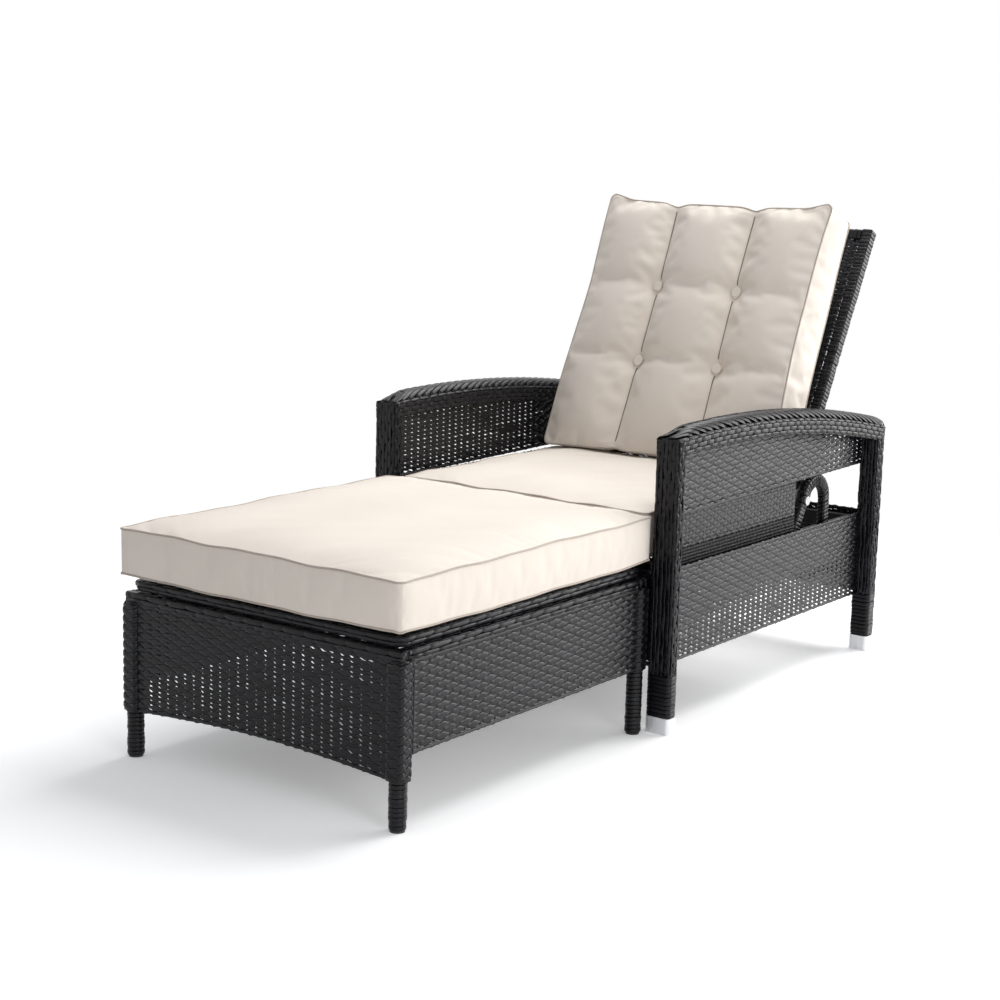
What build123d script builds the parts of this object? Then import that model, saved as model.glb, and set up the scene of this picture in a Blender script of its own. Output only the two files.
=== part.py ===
from build123d import *
import math
import os

# Rattan sun lounger: an arm chair with a reclining back, and a footstool pushed up to its front.
# While it is modelled, X runs across it, Y = 0 is the front face of the chair's front posts and
# +Y points to the back. At the end everything is moved so that the origin is at the centre of
# the foot of its box. Left is the sitter's left, on the +X side.

# Chair
chair_width = 680
chair_depth = 812
front_post_width = 50
front_post_depth = 28
rear_post_width = 42
rear_post_depth = 34
post_edge_radius = 7
foot_cap_height = 30
foot_cap_wall = 3
foot_cap_floor = 4
cap_clearance = 0.2

# Arms: the top edge of the outer face runs over three heights, front, middle and rear
arm_front_height = 528
arm_middle_height = 525
arm_rear_height = 468
arm_side_height = 34
arm_crown = 14

# Panels woven of flat strip
weave_thickness = 8
arm_panel_inset = 42
arm_panel_front_drop = 148
arm_panel_rear_drop = 78
skirt_inset = 28
skirt_bottom = 118
skirt_top = 290
apron_inset = 2

# Base frame, aluminium tube
base_rail_top = 277
base_rail_height = 22
side_rail_width = 31
cross_rail_depth = 18
tube_wall = 2
bracket_leg = 60
bracket_screw_share = 1 / 12
bracket_thickness = 4
screw_shank_diameter = 5
screw_shank_length = 14
screw_head_diameter = 10
screw_head_height = 3
screw_clearance = 0.05

# Seat frame on the base frame
seat_rail_height = 25
seat_rail_width = 25
seat_outer_half_width = 284
seat_front = 10
seat_rear = 520
deck_thickness = 6
deck_drop = 8
cross_bar_width = 25
cross_bar_height = 8
seat_side_panel_top = 385
seat_side_panel_bottom = 283
seat_side_panel_front = 30
seat_side_panel_rear = 525

# Hinge arches, ratchet hinges and their pins
arch_thickness = 18
arch_limb_width = 26
arch_front_foot = 538
arch_limb_past_pivot = 13
arch_lean = 30
arch_bend_radius = 44
pivot_height = 338
pin_diameter = 10
pin_head_diameter = 18
pin_head_height = 3
bush_wall = 2
running_clearance = 0.05
hinge_gap = 5
disc_thickness = 2.2
disc_diameter = 40
ratchet_teeth = 18
tooth_depth = 3

# Backrest
back_tilt = 28.5
back_length = 588
back_tail = 22
back_depth = 28
stile_width = 24
back_top_rail_height = 24
back_bottom_rail_height = 26
back_bottom_rail_rise = 8
back_edge_radius = 5

# Cushions
cushion_gap = 0.4
seat_cushion_half_width = 277
seat_cushion_front = 3
seat_cushion_rear = 524
foot_cushion_half_width = 302
foot_cushion_overhang = 10
foot_cushion_rear_gap = 4
box_cushion_low_seam = 13
box_cushion_high_seam = 86
box_cushion_crown = 13
box_cushion_waist = 4
box_cushion_corner = 16
back_cushion_length = 520
back_cushion_half_width = 262
back_cushion_tilt = 23.5
back_cushion_boxing = 84
back_cushion_lobe = 38
back_cushion_tuft = 8
back_cushion_rear_crown = 44
back_cushion_waist = 9
back_cushion_corner = 20
tuft_column_offset = 92
tuft_row_heights = (162, 324)
button_diameter = 22
button_height = 9
button_edge_radius = 3

# Footstool
stool_width = 592
stool_length = 685
stool_gap = 8
stool_leg_diameter = 30
stool_leg_inset = 15
glide_diameter = 24
glide_height = 4
stool_front_bottom = 79
stool_front_arch = 13
stool_side_bottom = 118
stool_panel_inset = 2
stool_rail_height = 21
stool_rail_width = 22
stool_rail_inset = 4
deck_frame_height = 19
deck_frame_width = 20
deck_frame_inset = 10
deck_frame_corner = 26

# How far cutting tools run past what they cut
overrun = 5

# Places worked out from the sizes
half_width = chair_width / 2
front_post_inner = half_width - front_post_width
rear_post_inner = half_width - rear_post_width
rear_post_front = chair_depth - rear_post_depth
deck_level = base_rail_top + seat_rail_height
base_rail_bottom = base_rail_top - base_rail_height
skirt_outer = half_width - skirt_inset
skirt_inner = skirt_outer - weave_thickness
side_rail_inner = skirt_inner - side_rail_width
seat_rail_inner = seat_outer_half_width - seat_rail_width
apron_rail_front = apron_inset + weave_thickness
apron_rail_rear = chair_depth - apron_rail_front
lean_slope = math.tan(math.radians(arch_lean))
pivot_rise = pivot_height - base_rail_top
pivot_y = arch_front_foot + pivot_rise * lean_slope

# The arch's leaning limb is straight to just past the pivot and then bends over to the rear limb
half_turn = math.radians(180 - arch_lean) / 2
bend_reach = arch_bend_radius * math.tan(half_turn) * math.cos(math.radians(arch_lean))
arch_corner_rise = pivot_rise + arch_limb_past_pivot + bend_reach
arch_rear_foot = arch_front_foot + arch_corner_rise * lean_slope
arch_inner = side_rail_inner
arch_outer = arch_inner + arch_thickness
back_half_width = arch_inner - hinge_gap
stile_inner = back_half_width - stile_width
stool_half_width = stool_width / 2
stool_front = -stool_gap - stool_length
stool_rear = -stool_gap
stool_panel_top = deck_level - deck_frame_height - stool_rail_height
stool_rail_top = deck_level - deck_frame_height

nodes = {}


def bar(x_span, y_span, z_span, edge_radius=0):
    """A square bar between pairs of coordinates, its long edges rounded if asked."""
    spans = (sorted(x_span), sorted(y_span), sorted(z_span))
    sizes = [high - low for low, high in spans]
    solid = Pos(*[(low + high) / 2 for low, high in spans]) * Box(*sizes)
    if edge_radius:
        long_axis = (Axis.X, Axis.Y, Axis.Z)[sizes.index(max(sizes))]
        solid = fillet(solid.edges().filter_by(long_axis), edge_radius)
    return solid


def tube(x_span, y_span, z_span, wall=tube_wall):
    """A rectangular tube, open at both ends of its long side."""
    spans = [sorted(span) for span in (x_span, y_span, z_span)]
    sizes = [high - low for low, high in spans]
    long_side = sizes.index(max(sizes))
    inner = [
        (low - overrun, high + overrun) if side == long_side else (low + wall, high - wall)
        for side, (low, high) in enumerate(spans)
    ]
    return bar(*spans) - bar(*inner)


def rod(centre, diameter, length, axis):
    """A round rod that starts at centre and runs along axis, X, Y or Z, by a signed length."""
    turn = {"X": (0, 90, 0), "Y": (-90, 0, 0), "Z": (0, 0, 0)}[axis]
    shift = {"X": (length / 2, 0, 0), "Y": (0, length / 2, 0), "Z": (0, 0, length / 2)}[axis]
    place = Pos(*[c + s for c, s in zip(centre, shift)])
    return place * Rot(*turn) * Cylinder(diameter / 2, abs(length))


def mirrored(shape):
    return mirror(shape, about=Plane.YZ)


def add_pair(name, shape):
    """Adds a piece of the left side and its mirror image on the right."""
    nodes[name + "_left"] = shape
    nodes[name + "_right"] = mirrored(shape)


def solids_of(*shapes):
    """One group of separate solids, for pieces that share a node."""
    return Compound([solid for shape in shapes for solid in shape.solids()])


def plan_half_width(y, half_x, length, waist, corner):
    """Half a cushion's width at y: drawn in towards its middle and rounded at its corners."""
    from_corner = max(corner - min(y, length - y), 0)
    corner_fall = corner - math.sqrt(corner**2 - from_corner**2)
    bow_share = 1 - (2 * y / length - 1) ** 2
    return half_x - corner_fall - waist * bow_share


# Arms and posts

def arm_edge(rise):
    """The arm's long arc, seen from the side, raised from the outer face's top edge by rise."""
    return ThreePointArc(
        (0, 0, arm_front_height + rise),
        (0, chair_depth / 2, arm_middle_height + rise),
        (0, chair_depth, arm_rear_height + rise),
    )


def make_arm():
    path = arm_edge(0)
    with BuildSketch(Plane(origin=path @ 0, x_dir=(1, 0, 0), z_dir=path % 0)) as section:
        with BuildLine():
            low = arm_side_height
            Polyline((front_post_inner, 0), (front_post_inner, low), (half_width, low), (half_width, 0))
            ThreePointArc(
                (half_width, 0), (half_width - front_post_width / 2, -arm_crown), (front_post_inner, 0)
            )
        make_face()
    arm = sweep(section.sketch, path=path)
    box = (front_post_inner - overrun, half_width + overrun)
    heights = (0, arm_front_height + arm_crown + overrun)
    arm -= bar(box, (-overrun * 2, 0), heights)
    arm -= bar(box, (chair_depth, chair_depth + overrun * 2), heights)
    return arm


arm = make_arm()
arm_top = arm_front_height + arm_crown


def make_post(x_span, y_span):
    """A wrapped post up to the arm, with a bare spigot that stands in its foot cap."""
    post = bar(x_span, y_span, (foot_cap_height, arm_top), post_edge_radius) - arm
    post = max(post.solids(), key=lambda solid: solid.bounding_box().size.Z)
    inset = foot_cap_wall + cap_clearance
    spigot = bar(
        (x_span[0] + inset, x_span[1] - inset),
        (y_span[0] + inset, y_span[1] - inset),
        (foot_cap_floor, foot_cap_height + overrun),
        post_edge_radius - foot_cap_wall,
    )
    return post + spigot


def make_foot_cap(x_span, y_span):
    pocket = bar(
        (x_span[0] + foot_cap_wall, x_span[1] - foot_cap_wall),
        (y_span[0] + foot_cap_wall, y_span[1] - foot_cap_wall),
        (foot_cap_floor, foot_cap_height + overrun),
    )
    block = Pos(
        sum(x_span) / 2, sum(y_span) / 2, foot_cap_height / 2
    ) * Box(x_span[1] - x_span[0], y_span[1] - y_span[0], foot_cap_height)
    block = fillet(block.edges().filter_by(Axis.Z), post_edge_radius)
    return block - pocket


front_post_spans = ((front_post_inner, half_width), (0, front_post_depth))
rear_post_spans = ((rear_post_inner, half_width), (rear_post_front, chair_depth))
add_pair("arm", arm)
add_pair("front_post", make_post(*front_post_spans))
add_pair("rear_post", make_post(*rear_post_spans))
caps = [make_foot_cap(*front_post_spans), make_foot_cap(*rear_post_spans)]
nodes["foot_caps"] = solids_of(*caps, *[mirrored(cap) for cap in caps])


# Woven panels of the chair

def side_panel(x_span, outline):
    """A flat panel that stands along Y, from an outline of Y and Z points."""
    with BuildSketch(Plane.YZ) as sketch:
        with BuildLine():
            Polyline(*outline, close=True)
        make_face()
    return Pos(x_span[0], 0, 0) * extrude(sketch.sketch, amount=x_span[1] - x_span[0])


arm_panel_inner = half_width - arm_panel_inset
panel_y = (front_post_depth, rear_post_front)
tall = side_panel(
    (arm_panel_inner, arm_panel_inner + weave_thickness),
    [
        (panel_y[0], arm_front_height - arm_panel_front_drop),
        (panel_y[1], arm_rear_height - arm_panel_rear_drop),
        (panel_y[1], arm_rear_height),
        (chair_depth / 2, arm_middle_height),
        (panel_y[0], arm_front_height),
    ],
)
arm_panel = min((tall - arm).solids(), key=lambda solid: solid.center().Z)
add_pair("arm_panel", arm_panel)

add_pair("side_skirt", bar((skirt_inner, skirt_outer), panel_y, (skirt_bottom, skirt_top)))
apron_front_x = (-front_post_inner, front_post_inner)
apron_rear_x = (-rear_post_inner, rear_post_inner)
nodes["front_apron"] = bar(apron_front_x, (apron_inset, apron_rail_front), (skirt_bottom, skirt_top))
nodes["rear_apron"] = bar(
    apron_rear_x, (apron_rail_rear, chair_depth - apron_inset), (skirt_bottom, skirt_top)
)

# Base frame and its brackets

base_z = (base_rail_bottom, base_rail_top)
side_rail = tube((side_rail_inner, skirt_inner), panel_y, base_z)
front_rail_y = (apron_rail_front, apron_rail_front + cross_rail_depth)
rear_rail_y = (apron_rail_rear - cross_rail_depth, apron_rail_rear)
front_cross_rail = tube((-front_post_inner, front_post_inner), front_rail_y, base_z)
rear_cross_rail = tube((-rear_post_inner, rear_post_inner), rear_rail_y, base_z)


def make_bracket(corner_y, direction):
    """A triangular gusset under a side rail and a cross rail, and its two screws' places."""
    reach = bracket_leg * direction
    outer_x = side_rail_inner + side_rail_width / 2
    inner_x = outer_x - bracket_leg
    with BuildSketch(Plane.XY.offset(base_rail_bottom - bracket_thickness)) as sketch:
        with BuildLine():
            Polyline((outer_x, corner_y), (inner_x, corner_y), (outer_x, corner_y + reach), close=True)
        make_face()
    plate = extrude(sketch.sketch, amount=bracket_thickness)
    holes = [
        (outer_x - bracket_leg / 2, corner_y + reach * bracket_screw_share),
        (side_rail_inner + side_rail_width / 4, corner_y + reach / 2),
    ]
    return plate, holes


brackets = []
screws = []
for corner_y, direction in ((front_rail_y[0], 1), (rear_rail_y[1], -1)):
    plate, holes = make_bracket(corner_y, direction)
    for x, y in holes:
        under = base_rail_bottom - bracket_thickness
        hole_diameter = screw_shank_diameter + 2 * screw_clearance
        hole_length = screw_shank_length + 2 * overrun
        hole = rod((x, y, under - overrun), hole_diameter, hole_length, "Z")
        plate -= hole
        side_rail -= hole
        front_cross_rail -= hole + mirrored(hole)
        rear_cross_rail -= hole + mirrored(hole)
        head = rod((x, y, under), screw_head_diameter, -screw_head_height, "Z")
        screws.append(head + rod((x, y, under), screw_shank_diameter, screw_shank_length, "Z"))
    brackets.append(plate)
add_pair("side_rail", side_rail)
nodes["front_cross_rail"] = front_cross_rail
nodes["rear_cross_rail"] = rear_cross_rail
nodes["corner_brackets"] = solids_of(*brackets, *[mirrored(plate) for plate in brackets])
nodes["bracket_screws"] = solids_of(*screws, *[mirrored(screw) for screw in screws])

# Seat frame, deck and woven sides

seat_z = (base_rail_top, deck_level)
seat_inner_front = seat_front + seat_rail_width
seat_inner_rear = seat_rear - seat_rail_width
add_pair("seat_rail", tube((seat_rail_inner, seat_outer_half_width), (seat_front, seat_rear), seat_z))
across = (-seat_rail_inner, seat_rail_inner)
nodes["seat_rail_front"] = tube(across, (seat_front, seat_inner_front), seat_z)
nodes["seat_rail_rear"] = tube(across, (seat_inner_rear, seat_rear), seat_z)
seat_deck_top = deck_level - deck_drop
seat_deck_bottom = seat_deck_top - deck_thickness
nodes["seat_deck"] = bar(across, (seat_inner_front, seat_inner_rear), (seat_deck_bottom, seat_deck_top))
seat_middle = (seat_front + seat_rear) / 2
cross_bar_y = (seat_middle - cross_bar_width / 2, seat_middle + cross_bar_width / 2)
nodes["seat_cross_bar"] = bar(across, cross_bar_y, (seat_deck_bottom - cross_bar_height, seat_deck_bottom))
add_pair("seat_side_panel", bar(
    (seat_outer_half_width, seat_outer_half_width + weave_thickness),
    (seat_side_panel_front, seat_side_panel_rear),
    (seat_side_panel_bottom, seat_side_panel_top),
))

# Hinge arches with their pins and toothed discs

corner_height = base_rail_top + arch_corner_rise
with BuildSketch(Plane.YZ) as arch_sketch:
    with BuildLine() as arch_line:
        FilletPolyline(
            (arch_front_foot - overrun * lean_slope, base_rail_top - overrun),
            (arch_rear_foot, corner_height),
            (arch_rear_foot, base_rail_top - overrun),
            radius=arch_bend_radius,
        )
    trace(arch_line.line, arch_limb_width)
arch = Pos(arch_inner, 0, 0) * extrude(arch_sketch.sketch, amount=arch_thickness)
arch -= bar(
    (arch_inner - overrun, arch_outer + overrun), (0, chair_depth), (0, base_rail_top)
)
pin_bore = pin_diameter + 2 * running_clearance
pivot_point = (0, pivot_y, pivot_height)
arch -= rod((arch_inner - overrun, pivot_y, pivot_height), pin_bore, arch_thickness + 2 * overrun, "X")
add_pair("hinge_arch", arch)

pin = rod((stile_inner, pivot_y, pivot_height), pin_diameter, arch_outer - stile_inner, "X")
pin += rod((arch_outer, pivot_y, pivot_height), pin_head_diameter, pin_head_height, "X")
nodes["hinge_pins"] = solids_of(pin, mirrored(pin))


def toothed_disc(x_start, x_end):
    """A disc round the pivot with square notches cut in its rim."""
    length = x_end - x_start
    disc = rod((x_start, pivot_y, pivot_height), disc_diameter, length, "X")
    disc -= rod((x_start - overrun, pivot_y, pivot_height), pin_bore, length + 2 * overrun, "X")
    notch_width = math.pi * disc_diameter / ratchet_teeth / 2
    for tooth in range(ratchet_teeth):
        spin = Rot(tooth * 360 / ratchet_teeth, 0, 0)
        notch = Pos(0, 0, disc_diameter / 2) * Box(length + 2 * overrun, notch_width, 2 * tooth_depth)
        disc -= Pos((x_start + x_end) / 2, pivot_y, pivot_height) * spin * notch
    return disc


fixed_disc = toothed_disc(arch_inner - disc_thickness, arch_inner)
nodes["ratchet_discs"] = solids_of(fixed_disc, mirrored(fixed_disc))
moving_disc = toothed_disc(back_half_width, back_half_width + disc_thickness)
nodes["pawl_discs"] = solids_of(moving_disc, mirrored(moving_disc))

# Backrest, made flat with Y up its length from the pivot and Z out of its front face

tilt = math.radians(back_tilt)
back_plane = Plane(
    origin=pivot_point, x_dir=(1, 0, 0), z_dir=(0, -math.cos(tilt), math.sin(tilt))
)


def lean(shape):
    return back_plane.location * shape


back_z = (-back_depth / 2, back_depth / 2)
bush_diameter = pin_bore + 2 * bush_wall
stile = bar((stile_inner, back_half_width), (-back_tail, back_length), back_z, back_edge_radius)
stile -= rod((stile_inner - overrun, 0, 0), bush_diameter, stile_width + 2 * overrun, "X")
add_pair("back_stile", lean(stile))
back_across = (-stile_inner, stile_inner)
top_rail_low = back_length - back_top_rail_height
bottom_rail_high = back_bottom_rail_rise + back_bottom_rail_height
nodes["back_top_rail"] = lean(bar(back_across, (top_rail_low, back_length), back_z, back_edge_radius))
nodes["back_bottom_rail"] = lean(
    bar(back_across, (back_bottom_rail_rise, bottom_rail_high), back_z, back_edge_radius)
)
nodes["back_panel"] = lean(
    bar(back_across, (bottom_rail_high, top_rail_low), (back_depth / 2 - weave_thickness, back_depth / 2))
)
bush = rod((stile_inner, 0, 0), bush_diameter, stile_width, "X")
bush -= rod((stile_inner - overrun, 0, 0), pin_bore, stile_width + 2 * overrun, "X")
bush = lean(bush)
nodes["hinge_bushes"] = solids_of(bush, mirrored(bush))

# Boxed cushions: a crowned top, drawn-in sides, and an underside pressed flat by the frame

# Each row in from an end: how full the crown is there, and how far down the underside comes
corner_share = 0.3
quarter_share = 0.25


def box_cushion_rows(length):
    corner = box_cushion_corner
    rows = [
        (0, 0.1, 0.1),
        (corner * corner_share, 0.3, 0.7),
        (corner, 0.45, 1),
        (length * quarter_share, 0.9, 1),
    ]
    far_rows = [(length - y, crown_share, press_share) for y, crown_share, press_share in reversed(rows)]
    return rows + [(length / 2, 1, 1)] + far_rows


def box_cushion(half_x, length):
    sections = []
    for y, crown_share, press_share in box_cushion_rows(length):
        edge = plan_half_width(y, half_x, length, box_cushion_waist, box_cushion_corner)
        floor = box_cushion_low_seam * (1 - press_share)
        floor_edge = edge - box_cushion_corner
        top = box_cushion_high_seam + box_cushion_crown * crown_share
        with BuildSketch(Plane(origin=(0, y, 0), x_dir=(1, 0, 0), z_dir=(0, 1, 0))) as section:
            with BuildLine():
                ThreePointArc((edge, -box_cushion_high_seam), (0, -top), (-edge, -box_cushion_high_seam))
                Polyline(
                    (-edge, -box_cushion_high_seam),
                    (-edge, -box_cushion_low_seam),
                    (-floor_edge, -floor),
                    (floor_edge, -floor),
                    (edge, -box_cushion_low_seam),
                    (edge, -box_cushion_high_seam),
                )
            make_face()
        sections.append(section.sketch)
    return loft(sections, ruled=True)


seat_cushion_length = seat_cushion_rear - seat_cushion_front
foot_cushion_front = stool_front - foot_cushion_overhang
foot_cushion_length = -foot_cushion_rear_gap - foot_cushion_front
cushion_level = deck_level + cushion_gap
nodes["seat_cushion"] = Pos(0, seat_cushion_front, cushion_level) * box_cushion(
    seat_cushion_half_width, seat_cushion_length
)
nodes["foot_cushion"] = Pos(0, foot_cushion_front, cushion_level) * box_cushion(
    foot_cushion_half_width, foot_cushion_length
)

# Tufted back cushion: lobes between creases, sewn down at four tufts

# Each row up the cushion: its height, and how full its lobes, creases and rear crown are there
row_low, row_high = tuft_row_heights
seam_row_shares = (0.1, 0.22, 0.15)
corner_row_shares = (0.25, 0.24, 0.3)
shoulder_row_shares = (0.45, 0.25, 0.5)
lobe_row_shares = (1, 0.6, 0.95)
tuft_row_shares = (0.55, 0, 1)
side_lobe_share = 2 / 3
corner_row = back_cushion_corner * corner_share
cushion_rows = (
    (0, seam_row_shares),
    (corner_row, corner_row_shares),
    (back_cushion_corner, shoulder_row_shares),
    (row_low / 2, lobe_row_shares),
    (row_low, tuft_row_shares),
    ((row_low + row_high) / 2, lobe_row_shares),
    (row_high, tuft_row_shares),
    ((row_high + back_cushion_length) / 2, lobe_row_shares),
    (back_cushion_length - back_cushion_corner, shoulder_row_shares),
    (back_cushion_length - corner_row, corner_row_shares),
    (back_cushion_length, seam_row_shares),
)


def tufted_cushion(place):
    """Lofts the rows up the cushion, in a plane with Y up its length and Z out of its front."""
    column = tuft_column_offset
    front = back_cushion_boxing
    crease_floor = front - back_cushion_tuft
    sections = []
    for height, (lobe_share, crease_share, rear_share) in cushion_rows:
        edge = plan_half_width(
            height,
            back_cushion_half_width,
            back_cushion_length,
            back_cushion_waist,
            back_cushion_corner,
        )
        side_column = (edge + column) / 2
        lobe = front + back_cushion_lobe * lobe_share
        crease = crease_floor + (back_cushion_lobe + back_cushion_tuft) * crease_share
        side = front + back_cushion_lobe * lobe_share * side_lobe_share
        rear = back_cushion_rear_crown * rear_share
        with BuildSketch(Plane(origin=(0, height, 0), x_dir=(1, 0, 0), z_dir=(0, 1, 0))) as section:
            with BuildLine():
                Line((edge, 0), (edge, -front))
                ThreePointArc((edge, -front), (side_column, -side), (column, -crease))
                ThreePointArc((column, -crease), (0, -lobe), (-column, -crease))
                ThreePointArc((-column, -crease), (-side_column, -side), (-edge, -front))
                Line((-edge, -front), (-edge, 0))
                ThreePointArc((-edge, 0), (0, rear), (edge, 0))
            make_face()
        sections.append(place.location * section.sketch)
    return loft(sections)


# The cushion stands on the seat cushion and its back's crown lies against the woven panel
slope = math.radians(back_cushion_tilt)
seat_cushion_top = cushion_level + box_cushion_high_seam + box_cushion_crown
back_cushion_foot = seat_cushion_top + cushion_gap


def cushion_plane(foot_y):
    return Plane(
        origin=(0, foot_y, back_cushion_foot),
        x_dir=(1, 0, 0),
        z_dir=(0, -math.cos(slope), math.sin(slope)),
    )


panel_face = Plane(
    origin=back_plane.origin + back_plane.z_dir * (back_depth / 2),
    x_dir=(1, 0, 0),
    z_dir=back_plane.z_dir,
)
trial_cushion = panel_face.location.inverse() * tufted_cushion(cushion_plane(0))
trial_depth = trial_cushion.bounding_box().min.Z
back_cushion_plane = cushion_plane((trial_depth - cushion_gap) / math.cos(tilt))
back_cushion = tufted_cushion(back_cushion_plane)
nodes["back_cushion"] = back_cushion

button_floor = back_cushion_boxing - back_cushion_tuft
buttons = []
for column in (-tuft_column_offset, tuft_column_offset):
    for row in tuft_row_heights:
        dome = rod((column, row, button_floor), button_diameter, button_height, "Z")
        dome = fillet(dome.edges().group_by(Axis.Z)[-1], button_edge_radius)
        buttons.append(back_cushion_plane.location * dome - back_cushion)
off_fabric = Pos(back_cushion_plane.z_dir * cushion_gap)
nodes["tuft_buttons"] = solids_of(*[off_fabric * button for button in buttons])

# Footstool

leg_x = stool_half_width - stool_leg_inset
leg_y = (stool_front + stool_leg_inset, stool_rear - stool_leg_inset)
leg_names = (("front", leg_y[0]), ("rear", leg_y[1]))
stool_leg_cuts = []
glides = []
for end, y in leg_names:
    leg = rod((leg_x, y, glide_height), stool_leg_diameter, stool_panel_top - glide_height, "Z")
    stool_leg_cuts += [leg, mirrored(leg)]
    add_pair("stool_leg_" + end, leg)
    glide = rod((leg_x, y, 0), glide_diameter, glide_height, "Z")
    glides += [glide, mirrored(glide)]
nodes["stool_glides"] = solids_of(*glides)

panel_outer_x = stool_half_width - stool_panel_inset
panel_x = (panel_outer_x - weave_thickness, panel_outer_x)
panel_front_y = (stool_front + stool_panel_inset, stool_front + stool_panel_inset + weave_thickness)
panel_rear_y = (stool_rear - stool_panel_inset - weave_thickness, stool_rear - stool_panel_inset)
with BuildSketch(Plane.XZ) as front_outline:
    low_corners = ((leg_x, stool_front_bottom), (-leg_x, stool_front_bottom))
    high_corners = ((-leg_x, stool_panel_top), (leg_x, stool_panel_top))
    with BuildLine():
        Polyline(low_corners[1], *high_corners, low_corners[0])
        ThreePointArc(low_corners[0], (0, stool_front_bottom + stool_front_arch), low_corners[1])
    make_face()
stool_front_panel = Pos(0, panel_front_y[1], 0) * extrude(front_outline.sketch, amount=weave_thickness)
stool_rear_panel = bar((-leg_x, leg_x), panel_rear_y, (stool_side_bottom, stool_panel_top))
stool_side_panel = bar(panel_x, leg_y, (stool_side_bottom, stool_panel_top))
for leg in stool_leg_cuts:
    stool_front_panel -= leg
    stool_rear_panel -= leg
    stool_side_panel -= leg
nodes["stool_panel_front"] = stool_front_panel
nodes["stool_panel_rear"] = stool_rear_panel
add_pair("stool_panel", stool_side_panel)

rail_z = (stool_panel_top, stool_rail_top)
rail_outer = stool_half_width - stool_rail_inset
rail_front = stool_front + stool_rail_inset
rail_rear = stool_rear - stool_rail_inset
rail_across = (-rail_outer, rail_outer)
nodes["stool_rail_front"] = tube(rail_across, (rail_front, rail_front + stool_rail_width), rail_z)
nodes["stool_rail_rear"] = tube(rail_across, (rail_rear - stool_rail_width, rail_rear), rail_z)
rail_along = (rail_front + stool_rail_width, rail_rear - stool_rail_width)
add_pair("stool_rail", tube((rail_outer - stool_rail_width, rail_outer), rail_along, rail_z))

frame_half = stool_half_width - deck_frame_inset
frame_length = stool_length - 2 * deck_frame_inset
frame_middle = (stool_front + stool_rear) / 2
with BuildSketch(Plane.XY) as frame_outline:
    RectangleRounded(2 * frame_half, frame_length, deck_frame_corner)
    Rectangle(
        2 * (frame_half - deck_frame_width), frame_length - 2 * deck_frame_width, mode=Mode.SUBTRACT
    )
nodes["stool_deck_frame"] = Pos(0, frame_middle, stool_rail_top) * extrude(
    frame_outline.sketch, amount=deck_frame_height
)
stool_deck_half = frame_half - deck_frame_width
deck_edge = deck_frame_inset + deck_frame_width
stool_deck_y = (stool_front + deck_edge, stool_rear - deck_edge)
stool_across = (-stool_deck_half, stool_deck_half)
stool_deck_top = deck_level - deck_drop
stool_deck_bottom = stool_deck_top - deck_thickness
nodes["stool_deck"] = bar(stool_across, stool_deck_y, (stool_deck_bottom, stool_deck_top))
stool_bar_y = (frame_middle - cross_bar_width / 2, frame_middle + cross_bar_width / 2)
stool_bar_drop = min(cross_bar_height, stool_deck_bottom - stool_rail_top)
nodes["stool_cross_bar"] = bar(
    stool_across, stool_bar_y, (stool_deck_bottom - stool_bar_drop, stool_deck_bottom)
)

# The origin goes to the centre of the foot of the whole lounger's box

whole = Compound([solid for shape in nodes.values() for solid in shape.solids()]).bounding_box()
shift = Vector(-(whole.min.X + whole.max.X) / 2, -(whole.min.Y + whole.max.Y) / 2, -whole.min.Z)
os.makedirs("parts", exist_ok=True)
for name, shape in nodes.items():
    export_step(Pos(shift) * shape, "parts/" + name + ".step")

print("nodes", len(nodes))
print("shift", tuple(round(value, 3) for value in shift))
print("pivot", tuple(round(value, 3) for value in Vector(*pivot_point) + shift))
print("box", whole.size)
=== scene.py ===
import math

import bpy
import numpy as np
from mathutils import Matrix, Vector


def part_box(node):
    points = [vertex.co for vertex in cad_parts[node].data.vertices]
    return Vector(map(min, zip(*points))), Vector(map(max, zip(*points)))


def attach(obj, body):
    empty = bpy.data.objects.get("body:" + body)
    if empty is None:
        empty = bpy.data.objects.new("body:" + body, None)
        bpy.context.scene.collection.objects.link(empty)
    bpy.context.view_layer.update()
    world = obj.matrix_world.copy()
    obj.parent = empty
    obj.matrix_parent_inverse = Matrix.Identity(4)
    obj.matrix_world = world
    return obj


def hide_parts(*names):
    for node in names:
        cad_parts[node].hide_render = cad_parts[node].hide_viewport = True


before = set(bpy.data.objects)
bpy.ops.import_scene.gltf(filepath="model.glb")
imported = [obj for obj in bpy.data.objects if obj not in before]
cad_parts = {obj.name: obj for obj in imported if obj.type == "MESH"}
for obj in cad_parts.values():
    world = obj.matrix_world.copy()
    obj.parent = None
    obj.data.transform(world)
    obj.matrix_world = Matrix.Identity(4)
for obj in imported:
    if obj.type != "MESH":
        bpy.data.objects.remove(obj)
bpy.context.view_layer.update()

# The looks of a rattan sun lounger: woven strip on a chair with a reclining back and on a
# footstool, three cushions, and the metal that shows. Lengths are in metres. X runs across,
# the foot end points to -Y and Z is up. Left is the sitter's left, on the +X side.

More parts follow.
